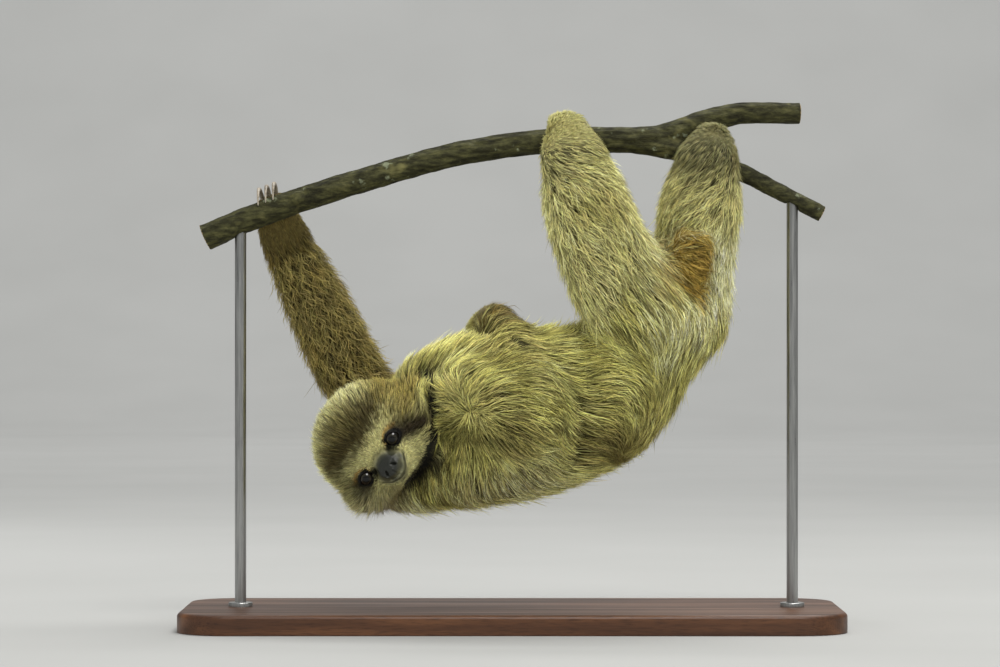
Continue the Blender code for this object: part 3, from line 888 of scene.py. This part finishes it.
def markings(places, node_of):
    """The coat's colour at each place, in linear numbers."""
    colour = body_markings(places, node_of)
    head = node_of == HEAD_NODE
    colour[head] = head_markings(in_head(places[head]))
    colour = blend(colour, PALE, ruff_share(places) * 0.9)
    # the throat's crease painted dark: partly its brown hair, partly painted shadow
    return blend(colour, DARK_BROWN_AND_SHADOW, bell(throat_side(places), THROAT_MIDDLE, 3.2) * 0.98)


# ---------------------------------------------------------------- lie of the coat


def side_of(line, places):
    """How far past a line on the front each place is, below 0 on its near side; far off elsewhere."""
    line = np.array(line, float)
    flat = places[:, (0, 2)]
    best = np.full(len(places), 1e9)
    side = np.ones(len(places))
    for a, b in zip(line[:-1], line[1:]):
        run = b - a
        t = np.clip(((flat - a) @ run) / (run @ run), 0, 1)
        gap = flat - (a + t[:, None] * run)
        away = np.hypot(*gap.T)
        nearer = away < best
        best[nearer] = away[nearer]
        side[nearer] = np.sign(gap[:, 1] * run[0] - gap[:, 0] * run[1])[nearer]
    return np.where(places[:, 1] < -20, best * side, 99.0)


def ridge_side(places):
    return side_of(CAPE_RIDGE, places)


def throat_side(places):
    return side_of(THROAT_LINE, places)


def lie_of(skin, tree, node_of):
    """The way the coat runs at each of the skin's points."""
    points, normals = skin.points, skin.normals
    nodes = np.array(FLESH)[node_of]
    flow = np.zeros_like(points)
    for group, members in GROUPS.items():
        mine = np.isin(nodes, members)
        if group == "head":
            flow[mine] = points[mine] - from_head(np.array([NOSE]))[0]
            continue
        hits = [tree.ray_cast(Vector((x, -300, z)), Vector((0, 1, 0))) for x, z, _, _ in LIE[group]]
        hits += [tree.find_nearest(Vector(place)) for place, _ in HIDDEN_LIE[group]]
        ways = [(dx, 0, dz) for _, _, dx, dz in LIE[group]] + [way for _, way in HIDDEN_LIE[group]]
        found = [i for i, hit in enumerate(hits) if hit[0] is not None]
        places, facing = (np.array([hits[i][part] for i in found]) for part in (0, 1))
        away = ((points[mine][:, None] - places) ** 2).sum(2)
        alike = np.clip(normals[mine] @ facing.T + 0.35, 0.03, None)
        flow[mine] = (alike / (away + 36.0) ** 2) @ unit(np.array(ways, float)[found])
    flow = unit(flow - (flow * normals).sum(1, keepdims=True) * normals)
    return skin.eased(flow, 24, normals)


def parting(skin, flow):
    """1 where the coat runs apart from a line or a whorl, and so leaves the skin thinly covered."""
    a, b = skin.edges.T
    along = skin.points[b] - skin.points[a]
    rate = ((flow[b] - flow[a]) * along).sum(1) / (along**2).sum(1)
    count = len(skin.points)
    spreading = 2 * (np.bincount(a, rate, count) + np.bincount(b, rate, count)) / skin.near
    return soft(skin.eased(spreading, 8), 0.015, 0.09)


# ---------------------------------------------------------------- coat

LOCK_TRIES = 80000  # places that are tried for the roots of locks
TRUNK_CUTS = (0, 45, 80)  # where the trunk's coat is cut into pieces, along x
MOST_TRIANGLES = 195000  # in a piece of the coat
PATCH = 0.003  # the side of a tuft's patch on the unwrap
SPINDLE = [(-1.0, -0.5), (1.0, -0.5), (0.0, 0.8)]  # a tuft's corners, sideways and out
LOCK_SPACING = 1.15  # between the roots of two locks, in their radii
LOCK_SWAY = radians(11)  # how far a lock turns off the lie of the coat
STEER = 0.4  # how much of the lie a lock takes up at each step
STRAIGHTEN = 0.22  # how much each step goes straight on from the last two
STRAY_SHARE, BRIGHT_SHARE = 0.06, 0.4  # the tufts that leave their lock, and the bright ones


def scattered(skin, density, count):
    """`count` places on the skin, the more where the points' density is higher."""
    chance = skin.amounts(density)
    face = rng.choice(len(chance), count, p=chance / chance.sum())
    a, b = rng.random((2, count))
    over = a + b > 1
    a[over], b[over] = 1 - a[over], 1 - b[over]
    return face, np.stack((1 - a - b, a, b), axis=1)


def spread(places, radii):
    """Picks places so that none stands nearer to another than its radius."""
    kept, grid = [], {}
    cells = np.floor(places / radii.max()).astype(int).tolist()
    steps = list(product((-1, 0, 1), repeat=3))
    for i, (x, y, z) in enumerate(cells):
        around = [other for dx, dy, dz in steps for other in grid.get((x + dx, y + dy, z + dz), ())]
        if not around or ((places[around] - places[i]) ** 2).sum(1).min() >= radii[i] ** 2:
            grid.setdefault((x, y, z), []).append(i)
            kept.append(i)
    return np.array(kept)


def walk(ground, roots, normals, lengths, turns, lifts, backs):
    """Each lock's middle line, from its root along the lie of the coat to its tip."""
    skin, flow, near = ground.skin, ground.flow, ground.tree.find_nearest
    lines, ups = np.empty((2, len(roots), LINE_STEPS, 3))
    for i in range(len(roots)):
        place, normal = Vector(roots[i]), Vector(normals[i])
        step = lengths[i] / (LINE_STEPS - 1)
        face = near(place)[2]
        heading = Matrix.Rotation(turns[i], 3, normal) @ Vector(flow[skin.triangles[face]].mean(0))
        for k in range(LINE_STEPS):
            corners = skin.triangles[face]
            if k == 0 and backs[i] > 0.5:
                place, normal, face, _ = near(place - heading * backs[i])
            elif k * step > 2 * backs[i]:
                heading = heading * (1 - STEER) + Vector(flow[corners].mean(0)) * STEER
            heading = (heading - heading.dot(normal) * normal).normalized()
            height = ground.depth[corners].mean() * lifts[i] * (k / (LINE_STEPS - 1)) ** 0.75
            lines[i, k] = place + normal * height
            ups[i, k] = normal
            if k + 1 < LINE_STEPS:
                place, _, face, _ = near(place + heading * step)
                normal = Vector(skin.normals[skin.triangles[face]].sum(0)).normalized()
    for k in range(2, LINE_STEPS):
        straight = 2 * lines[:, k - 1] - lines[:, k - 2]
        lines[:, k] = (1 - STRAIGHTEN) * lines[:, k] + STRAIGHTEN * straight
    return lines, unit(ups)


def at(values, where):
    """Values along each line at a place from 0 to 1."""
    s = np.clip(where, 0, 1) * (values.shape[1] - 1)
    low = np.minimum(s.astype(int), values.shape[1] - 2)
    share = (s - low)[:, None]
    rows = np.arange(len(values))
    return values[rows, low] * (1 - share) + values[rows, low + 1] * share


def paint(mesh, colours):
    """Stores the colour of each of the mesh's points."""
    rows = np.ones((len(mesh.vertices), 4), np.float32)
    rows[:, :3] = colours.reshape(-1, 3)
    mesh.color_attributes.new("Marking", "FLOAT_COLOR", "POINT").data.foreach_set("color", rows.ravel())


def coat_piece(name, finish, tufts, rings):
    """One mesh of tufts: each a thin closed three-sided spindle of hairs, pointed at root and tip."""
    paths, ups, widths, colours, uvs = tufts
    count, steps = len(paths), len(rings)
    each = 3 * steps + 2
    root, tip, last = each - 2, each - 1, 3 * (steps - 1)
    tangents = unit(np.gradient(paths, axis=1))
    sides = unit(np.cross(ups, tangents))
    rises = np.cross(tangents, sides)
    station = np.array([1 + corner // 3 for corner in range(3 * steps)] + [0, steps + 1])
    points, shades = paths[:, station], colours[:, station]
    for corner, (across, up) in enumerate(SPINDLE * steps):
        at_ring = station[corner]
        half = (widths * rings[at_ring - 1][1] / 2)[:, None]
        points[:, corner] += half * (across * sides[:, at_ring] + up * rises[:, at_ring])
    heights = [t for t, _ in rings]
    faces, marks = [], []
    for c in range(3):
        left, right, after = c / 3, (c + 1) / 3, (c + 1) % 3
        faces.append((root, after, c))
        marks.append((((left + right) / 2, 0.0), (right, heights[0]), (left, heights[0])))
        for r in range(steps - 1):
            a, b, low, high = 3 * r + c, 3 * r + after, heights[r], heights[r + 1]
            faces += [(a, b, b + 3), (a, b + 3, a + 3)]
            marks += [((left, low), (right, low), (right, high)), ((left, low), (right, high), (left, high))]
        faces.append((last + c, last + after, tip))
        marks.append(((left, heights[-1]), (right, heights[-1]), ((left + right) / 2, 1.0)))
    loops = (np.array(faces)[None] + (np.arange(count) * each)[:, None, None]).reshape(-1)
    patch = (np.array(marks).reshape(-1, 2) - 0.5) * PATCH
    mesh = bpy.data.meshes.new(name)
    mesh.vertices.add(count * each)
    mesh.vertices.foreach_set("co", (points * MM).astype(np.float32).ravel())
    mesh.loops.add(len(loops))
    mesh.loops.foreach_set("vertex_index", loops.astype(np.int32))
    mesh.polygons.add(len(loops) // 3)
    mesh.polygons.foreach_set("loop_start", np.arange(0, len(loops), 3, dtype=np.int32))
    mesh.update(calc_edges=True)
    mesh.shade_smooth()
    mesh.uv_layers.new(name="OFBake").uv.foreach_set(
        "vector", (uvs[:, None] + patch[None]).astype(np.float32).ravel()
    )
    paint(mesh, shades)
    mesh.materials.append(finish)
    return placed(name, mesh)


LONG_RINGS = [(0.24, 1.0), (0.66, 0.75)]
WAVY_RINGS = [(0.2, 1.0), (0.48, 0.95), (0.76, 0.7)]
SHORT_RINGS = [(0.42, 1.0)]
RINGS = {
    **dict.fromkeys(("coat_head", "coat_face", "coat_feet"), SHORT_RINGS),
    **dict.fromkeys(("coat_left_arm", "coat_left_leg", "coat_right_leg", "coat_tail"), WAVY_RINGS),
}
PIECE_OF = {
    **{node: "coat_" + group for group, members in GROUPS.items() for node in members},
    **dict.fromkeys(("left_hand", "right_hand", "left_foot", "right_foot"), "coat_feet"),
    **dict.fromkeys(("right_upper_arm", "right_forearm"), "coat_right_arm"),
    "neck": "coat_neck",
    "trunk": "coat_trunk",
}


class Ground:
    """The skin as the coat grows on it, with what the coat needs to know at each of its points."""

    def __init__(self, skin_object, outer, outer_nodes):
        self.skin = skin = Surface(skin_object)
        self.tree = skin.tree()
        self.uv = rows_of(skin_object.data.uv_layers["OFBake"].uv, "vector", 2)
        shell = outer.tree()
        nearest = [shell.find_nearest(Vector(p)) for p in skin.points]
        self.node_of = np.array([outer_nodes[outer.triangles[found[2]][0]] for found in nearest])
        past, gap = ridge_side(skin.points), throat_side(skin.points) - THROAT_MIDDLE
        self.depth = np.array([found[3] for found in nearest]) - 4.0 * bell(gap, 0, 2.6)
        self.depth += 2.5 * bell(past, -3, 4.5) - 1.2 * bell(past, 5, 3.0)
        self.flow = lie_of(skin, self.tree, self.node_of)
        on_head = self.node_of == HEAD_NODE
        self.parted = parting(skin, self.flow) * ~on_head
        h = in_head(skin.points)
        self.bare = bare_share(h) * on_head

        numbers = leg_numbers(coat_numbers(skin.points, self.node_of), skin.points, self.node_of)
        numbers = np.where(on_head[:, None], skin.eased(numbers, 6), skin.eased(numbers, 90))
        near_bare = 0.45 + 0.55 * np.minimum(soft(muzzle_out(h), 0.9, 1.8), soft(eyes_out(h), 1.2, 2.3))
        fringe = soft(-h[:, 0], 28, 40) * soft(-h[:, 2], -2, 10)
        numbers[:, LENGTH] *= 1 - 0.4 * self.parted
        trimmed = np.where(on_head & (h[:, 1] < -8), near_bare, 1.0)
        numbers[:, LENGTH] *= trimmed * (1 + 0.7 * on_head * fringe)
        numbers[:, LENGTH] *= 1 + ruff_share(skin.points) * np.where(on_head, 0.4, 0.15)
        numbers[:, DENSITY] *= 1 + 3.0 * self.parted
        numbers[:, SPREAD] += 0.12 * self.parted
        self.numbers = numbers
        self.density = numbers[:, DENSITY] * (1 - self.bare) * (0.3 + 0.7 * soft(np.abs(gap), 2.4, 4.4))
        self.density *= 1 + 1.4 * on_head * soft(muzzle_out(h), 0.9, 1.0) * fade(muzzle_out(h), 1.25, 1.5)


def line_ends(roots, lines):
    """The share of each line that tufts use: they stop at the cape's ridge, the forearm and the throat."""
    ends = np.ones(len(roots))
    on_cape, off_bump, from_throat = ridge_side(roots) < 0, bump_share(roots) < 0.4, throat_side(roots)
    for k in range(LINE_STEPS - 1, 0, -1):
        past, throat = ridge_side(lines[:, k]), throat_side(lines[:, k])
        crossed = on_cape & (past > 8) & (past < 60) | off_bump & (bump_share(lines[:, k]) > 0.5)
        near = (np.abs(throat) < 30) & (np.abs(from_throat) < 30)
        crossed |= near & (from_throat < 2) & (throat > 2) & (ends > 0.45)
        crossed |= near & (from_throat > 2) & (throat < 3) & (ends > 0.3)
        ends[crossed] = k / (LINE_STEPS - 1)
    return ends


def make_locks(ground):
    """The locks' roots, middle lines and ups, the share of each line in use, and how parted the coat is."""
    skin = ground.skin
    face, shares = scattered(skin, (1 - ground.bare) / ground.numbers[:, LOCK] ** 2, LOCK_TRIES)
    places = skin.carried(skin.points, face, shares)
    kept = spread(places, skin.carried(ground.numbers[:, LOCK], face, shares) * LOCK_SPACING)
    face, shares, roots, count = face[kept], shares[kept], places[kept], len(kept)
    normals = unit(skin.carried(skin.normals, face, shares))
    lengths = skin.carried(ground.numbers[:, LENGTH], face, shares) * rng.uniform(0.8, 1.2, count)
    crossing = skin.carried(ground.parted, face, shares)
    turns = rng.normal(0, LOCK_SWAY, count) * (1 - 0.5 * fade(lengths, 5, 14) + 1.5 * crossing)
    lifts = rng.uniform(0.7, 1.1, count)
    backs = lengths * rng.uniform(0.2, 0.5, count) * soft(crossing, 0.25, 0.8)
    lines, ups = walk(ground, roots, normals, lengths, turns, lifts, backs)
    return roots, lines, ups, line_ends(roots, lines), crossing


class Tufts:
    """All the coat's tufts: where each is rooted, which lock it belongs to, its shape and its tones."""

    def __init__(self, ground, locks):
        skin, (roots, self.lines, self.ups, ends, crossing) = ground.skin, locks
        total, count = int(FULLNESS * skin.amounts(ground.density).sum()), len(roots)
        face, shares = scattered(skin, ground.density, total)
        self.root = skin.carried(skin.points, face, shares)
        self.node = ground.node_of[skin.triangles[face][:, 0]]
        self.uv = np.einsum("nk,nkc->nc", shares, ground.uv[skin.corners[face]])
        numbers = skin.carried(ground.numbers, face, shares)
        length, self.wave = numbers[:, LENGTH], numbers[:, WAVE]
        near_locks = tree_of(roots)
        self.lock = lock = np.array([near_locks.find(Vector(p))[1] for p in self.root])
        self.offset = self.root - roots[lock]
        crossing = crossing[lock]

        stray = rng.random(total) < STRAY_SHARE
        self.gather = numbers[:, GATHER] * rng.uniform(0.6, 1.15, total) * ~stray
        width = numbers[:, WIDTH] * rng.uniform(0.6, 1.25, total)
        self.reach = rng.uniform(0.6, 1.0, total) * ends[lock]
        self.shift = rng.normal(0, 1, (total, 2)) * (length * numbers[:, SPREAD])[:, None]
        self.shift *= np.where(stray, 2.0, 1.0)[:, None] * np.array((1.0, 0.4))
        self.phase = rng.uniform(0, 2 * pi, (count, 2))[lock] + rng.normal(0, 0.7, (total, 2))
        bright = rng.random(total) < BRIGHT_SHARE
        shade = np.where(bright, rng.uniform(1.15, 1.9, total), rng.uniform(0.22, 0.8, total))
        self.width = width * np.where(bright, 1.25, 0.95)
        self.lift = numbers[:, DEPTH] * np.where(bright, 0.1, -0.08) + 0.07 * length * stray
        self.lift += ruff_share(self.root) * rng.uniform(2.0, 8.0, total)
        shade *= rng.uniform(0.7, 1.25, count)[lock] * (1 - 0.38 * crossing)
        calm = fade(length, 5, 12) * np.where(self.node == HEAD_NODE, 0.4, 0.72)
        shade = shade * (1 - calm) + calm
        shade = np.where(np.isin(self.node, WOOLLY), 0.25 + 0.75 * shade, shade)
        warmth = np.stack([rng.normal(0, sway, total) for sway in (0.04, 0.02, 0.08)], 1)
        self.turns = length / (np.clip(length * 0.8, 3, 16) * rng.uniform(0.8, 1.25, count)[lock])
        self.colour = markings(self.root, self.node) * (1 + warmth) * shade[:, None]
        # tufts darken towards their roots: partly the hair's own darker roots, partly painted shade deep in
        # the coat
        self.start_shade = 0.25 + 0.15 * crossing

    def shaped(self, chosen, rings):
        """The chosen tufts' lines, ups, widths, colours and places on the unwrap."""
        lines, ups, reach = self.lines[self.lock[chosen]], self.ups[self.lock[chosen]], self.reach[chosen]
        paths, normals, tints = [], [], []
        for t in (0.0, *(height for height, _ in rings), 1.0):
            up = at(ups, t * reach)
            side = unit(np.cross(up, at(lines, t * reach + 0.1) - at(lines, t * reach - 0.1)))
            turns = 2 * pi * t * self.turns[chosen, None] + self.phase[chosen]
            swing = np.sin(turns) * self.wave[chosen, None] * min(1.0, 2.2 * t) * np.array((1.0, 0.5))
            across, out = (self.shift[chosen] * t**1.4 + swing).T[:, :, None]
            out = out + self.lift[chosen, None] * t - 0.4 * (1 - t)
            middle = at(lines, t * reach) + self.offset[chosen] * (1 - self.gather[chosen, None] * t**0.8)
            paths.append(middle + side * across + up * out)
            normals.append(up)
            # dark at the root and brighter at the tip: partly the hair's own tone, partly painted shade in
            # the coat's depth
            shade = self.start_shade[chosen, None] * (1 - t) ** 0.5 + 1.2 * t**0.8
            tints.append(np.clip(self.colour[chosen] * shade, 0, 1))
        paths, normals, tints = (np.stack(rows, 1) for rows in (paths, normals, tints))
        return paths, normals, self.width[chosen], tints, self.uv[chosen]

    def pieces(self):
        """The name of the piece that each tuft is joined into."""
        names = np.array([PIECE_OF[node] for node in FLESH], object)[self.node]
        trunk = names == "coat_trunk"
        names[trunk] = [f"coat_trunk_{i + 1}" for i in np.digitize(self.root[trunk, 0], TRUNK_CUTS)]
        names[(names == "coat_head") & (face_share(self.root) > 0.5)] = "coat_face"
        return names


def make_coat(ground, finish):
    """Grows the coat and returns its pieces, each under the limit of triangles."""
    tufts = Tufts(ground, make_locks(ground))
    names = tufts.pieces()
    pieces = []
    for name in sorted(set(names)):
        chosen = np.flatnonzero(names == name)
        rings = RINGS.get(name, LONG_RINGS)
        most = MOST_TRIANGLES // (6 * len(rings))  # tufts in one piece
        parts = -(-len(chosen) // most)
        order = chosen[np.argsort(tufts.root[chosen, 2], kind="stable")]
        for letter, share in zip("abcdef", np.array_split(order, parts)):
            piece = name if parts == 1 else f"{name}_{letter}"
            pieces.append(coat_piece(piece, finish, tufts.shaped(share, rings), rings))
    return pieces


def paint_skin(obj, ground):
    """Gives the skin the coat's markings with painted shade under the hair and in the throat's crease, and
    the bare skin its own.
    """
    points, bare = ground.skin.points, ground.bare
    # painted shade: the skin under long hair is darkened to a tenth of the coat's colour, less under short
    # hair
    under_coat_shade = 0.1 + 0.55 * fade(ground.numbers[:, LENGTH], 5, 13)
    # painted shadow: the skin darker still in the throat's crease
    under_coat_shade *= 0.2 + 0.8 * soft(np.abs(throat_side(points) - 2), 4, 8)
    shade = under_coat_shade * (1 - bare) + bare
    paint(obj.data, markings(points, ground.node_of) * shade[:, None])
    wet = obj.data.attributes.new("Bare", "FLOAT", "POINT")
    wet.data.foreach_set("value", (bare * snout_share(in_head(points))).astype(np.float32))


# ---------------------------------------------------------------- eyes, claws, branch, stand

EYE_BULGE = 0.35  # how far the clear skin over the iris stands out
CLAW_SINK = 3.5  # how deep a claw's root runs into the flesh
BASE_CORNER = 34.0  # the radius of the board's corners
COLLAR_RIM, COLLAR_HEIGHT = 4.5, 3.0


def make_eye(side, name):
    """An eyeball with a clear bulge over the iris, looking where the face does."""
    centre = from_head(np.array([(side * EYE_SPREAD, -EYE_FORWARD, EYE_HEIGHT)]))[0]
    gaze = Vector(HEAD[:3, :3] @ unit(np.array((-0.04 * side, -1.0, 0.0)))).normalized()
    bm = bmesh.new()
    bmesh.ops.create_uvsphere(bm, u_segments=48, v_segments=32, radius=EYE_RADIUS)
    for v in bm.verts:
        if v.co.z > 0:
            v.co.z += EYE_BULGE * float(fade(v.co.xy.length, 1.5, 4.4))
    bm.transform(Matrix.Translation(centre) @ gaze.to_track_quat("Z", "Y").to_matrix().to_4x4())
    eye = link(name, bm, eye_finish(f"Eye {name}", centre, gaze))
    eye.data.shade_smooth()
    return eye


def make_claw(node, finish, flesh):
    """A claw of horn whose root runs on into the flesh."""
    bm = merged(node)
    for v in bm.verts:
        _, normal, _, away = flesh.find_nearest(v.co)
        v.co -= normal * CLAW_SINK * float(fade(away, 1.0, 4.5))
    bmesh.ops.smooth_vert(bm, verts=bm.verts, factor=0.3, use_axis_x=True, use_axis_y=True, use_axis_z=True)
    claw = link(node + "_horn", bm, finish)
    round_off = claw.modifiers.new("Round", "SUBSURF")
    round_off.levels = round_off.render_levels = 2
    freeze(claw)
    claw.data.shade_smooth()
    return claw


def past_end(points, place, outward):
    """How far past a sawn end each place is, and far below 0 away from that end."""
    along = (points - np.array(place)) @ unit(np.array(outward, float))
    return np.where(np.linalg.norm(points - np.array(place), axis=1) < 14, along, -99.0)


def make_branch(bark, sawn):
    """The branch with its bark's ridges, its knots and its sawn ends."""
    branch = link("branch_bark", merged("branch"), bark, sawn)
    remesh(branch, 1.1, 1)
    surface = Surface(branch)
    points = surface.points
    drawn = points * np.array((0.05, 0.22, 0.22))
    rise = np.array([0.55 * noise.fractal(Vector(p), 1.0, 2.0, 4) - 0.25 for p in drawn])
    for centre, radius, height in KNOTS:
        away = np.linalg.norm(points - np.array(centre), axis=1) / radius
        rise += height * (np.exp(-(away**2) * 1.6) - 0.4 * bell(away, 1.3, 0.35))
    cuts = np.array([past_end(points, *end) for end in SAWN_ENDS]).max(0)
    rise *= fade(cuts, -3.0, -0.5)
    set_points(branch, points + surface.normals * rise[:, None])
    corners = np.array([polygon.vertices[:] for polygon in branch.data.polygons])
    branch.data.polygons.foreach_set("material_index", (cuts > -0.8)[corners].all(1).astype(np.int32))
    branch.data.shade_smooth()
    return branch


def round_off(bm, edges, radius, segments):
    bmesh.ops.bevel(
        bm, geom=edges, offset=radius, offset_type="OFFSET", segments=segments, profile=0.5,
        affect="EDGES", material=-1,
    )  # fmt: skip


def make_base(finish):
    low, high = (Vector(corner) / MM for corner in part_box("stand_base"))
    shape = Matrix.Translation((low + high) / 2) @ Matrix.Diagonal((*(high - low), 1.0))
    bm = bmesh.new()
    bmesh.ops.create_cube(bm, size=1.0, matrix=shape)
    round_off(bm, [e for e in bm.edges if abs(e.verts[0].co.z - e.verts[1].co.z) > 1], BASE_CORNER, 24)
    for height, radius, segments in ((high.z, 3.0, 5), (low.z, 0.8, 2)):
        level = [e for e in bm.edges if all(abs(v.co.z - height) < 0.01 for v in e.verts)]
        rim = [e for e in level if any(abs(f.normal.z) < 0.5 for f in e.link_faces)]
        round_off(bm, rim, radius, segments)
    return link("base_board", bm, finish)


def cylinder(bm, radius, foot, height):
    """A closed cylinder that stands on a place; returns its points."""
    middle = Matrix.Translation(foot + Vector((0, 0, height / 2)))
    return bmesh.ops.create_cone(
        bm, cap_ends=True, segments=48, radius1=radius, radius2=radius, depth=height, matrix=middle
    )["verts"]


def make_rod(node, finish):
    """A stand's rod with the collar at its foot."""
    low, high = (Vector(corner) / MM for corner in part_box(node))
    foot, radius = (low + high) / 2, (high.x - low.x) / 2
    bm = bmesh.new()
    foot.z = low.z
    cylinder(bm, radius, foot, high.z - low.z)
    foot.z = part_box("stand_base")[1].z / MM
    collar = cylinder(bm, radius + COLLAR_RIM, foot, COLLAR_HEIGHT)
    top = foot.z + COLLAR_HEIGHT - 0.1
    rim = {e for v in collar for e in v.link_edges if all(w.co.z > top for w in e.verts)}
    round_off(bm, list(rim), 0.8, 3)
    rod = link(node + "_steel", bm, finish)
    rod.data.shade_smooth()
    rod.data.set_sharp_from_angle(angle=radians(40))
    return rod


# ---------------------------------------------------------------- stage

FLOOR_REACH = 30000
BACKDROP_AT, BACKDROP_CURVE, BACKDROP_RISE = 5000, 3000, 6000


def make_stage():
    """A pale floor that curves up into a backdrop."""
    bm = bmesh.new()
    corner = bmesh.ops.create_grid(bm, x_segments=1, y_segments=1, size=1.0)["verts"]
    for v in corner:
        v.co = (v.co.x * FLOOR_REACH, -FLOOR_REACH if v.co.y < 0 else BACKDROP_AT, 0)
    edge = [e for e in bm.edges if all(v.co.y > BACKDROP_AT - 1 for v in e.verts)]
    bmesh.ops.spin(
        bm, geom=edge, cent=(0, BACKDROP_AT, BACKDROP_CURVE), axis=(1, 0, 0), angle=radians(90),
        steps=24, use_merge=False,
    )  # fmt: skip
    top = max(v.co.z for v in bm.verts)
    edge = [e for e in bm.edges if all(v.co.z > top - 1 for v in e.verts)]
    grown = bmesh.ops.extrude_edge_only(bm, edges=edge)["geom"]
    for v in grown:
        if isinstance(v, bmesh.types.BMVert):
            v.co.z += BACKDROP_RISE
    bmesh.ops.recalc_face_normals(bm, faces=bm.faces)
    floor = link("floor", bm, floor_finish())
    floor.data.shade_smooth()


# Each lamp's place, the place it aims at, its size, power and colour, and whether the eyes mirror it
LAMPS = {
    "Key": ((0.3, -1.25, 2.0), (0, 0, 0.2), (1.0, 0.8), 33, (1, 0.99, 0.97), True),
    "Fill": ((-1.9, -1.7, 0.5), (0, 0, 0.2), (1.4, 1.2), 9, (0.97, 0.99, 1.0), False),
    "Rim": ((-1.6, 0.9, 0.5), (-0.05, 0, 0.15), (0.8, 0.8), 12, (1, 1, 1), False),
    "Low": ((0.6, -2.2, 0.3), (0, 0, 0.2), (2.2, 0.8), 17, (1, 1, 0.98), False),
    "Top": ((0.6, 0.6, 1.9), (0.05, 0, 0.22), (1.4, 0.9), 22, (1, 1, 0.98), True),
    "Backdrop": ((0, 3.0, 5.0), (0, 7.0, 1.0), (5.0, 1.5), 260, (1, 1, 1), True),
}


def light_and_camera():
    for name, (place, aim, size, power, colour, mirrored) in LAMPS.items():
        data = bpy.data.lights.new(name, "AREA")
        data.shape = "ELLIPSE"
        data.size, data.size_y = size
        data.energy, data.color = power, colour
        lamp = placed(name, data)
        lamp.visible_glossy = mirrored
        lamp.location = place
        lamp.rotation_euler = (Vector(aim) - Vector(place)).to_track_quat("-Z", "Y").to_euler()
    scene = bpy.context.scene
    scene.world = bpy.data.worlds.new("Studio")
    scene.world.use_nodes = True
    sky = scene.world.node_tree.nodes["Background"].inputs
    sky["Color"].default_value = (0.86, 0.88, 0.86, 1)
    sky["Strength"].default_value = 0.46
    data = bpy.data.cameras.new("Camera")
    data.sensor_width, data.lens = SENSOR, SENSOR * -CAMERA_PLACE[1] / VIEW_WIDTH
    scene.camera = placed("Camera", data)
    scene.camera.location = CAMERA_PLACE
    scene.camera.rotation_euler = (radians(90), 0, 0)
    scene.view_settings.view_transform = "Standard"


# ---------------------------------------------------------------- assembly

for leftover in list(bpy.data.objects):
    bpy.data.objects.remove(leftover, do_unlink=True)
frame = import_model()
claws = [node for node in frame["nodes"] if "claw" in node]


def show(piece, slot, *nodes):
    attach(piece, "root")
    if nodes:
        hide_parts(*nodes)


skin_piece, outer_surface, outer_node_of = make_skin()
unwrap(skin_piece)
ground = Ground(skin_piece, outer_surface, outer_node_of)
coat_pieces = make_coat(ground, coat_finish())
skin_piece.data.materials.append(skin_finish())
paint_skin(skin_piece, ground)
show(skin_piece, "coat", *FLESH)
for piece in coat_pieces:
    show(piece, "coat")
for side, node in ((1, "left_eye"), (-1, "right_eye")):
    show(make_eye(side, node + "_ball"), "eye", node)
flesh, horn = outer_surface.tree(), claw_finish()
for node in claws:
    show(make_claw(node, horn, flesh), "claw", node)
show(make_branch(bark_finish(), sawn_finish()), "bark", "branch")
show(make_base(board_finish()), "stand_wood", "stand_base")
steel = steel_finish()
for node in ("stand_rod_left", "stand_rod_right"):
    show(make_rod(node, steel), "stand_steel", node)
make_stage()
light_and_camera()
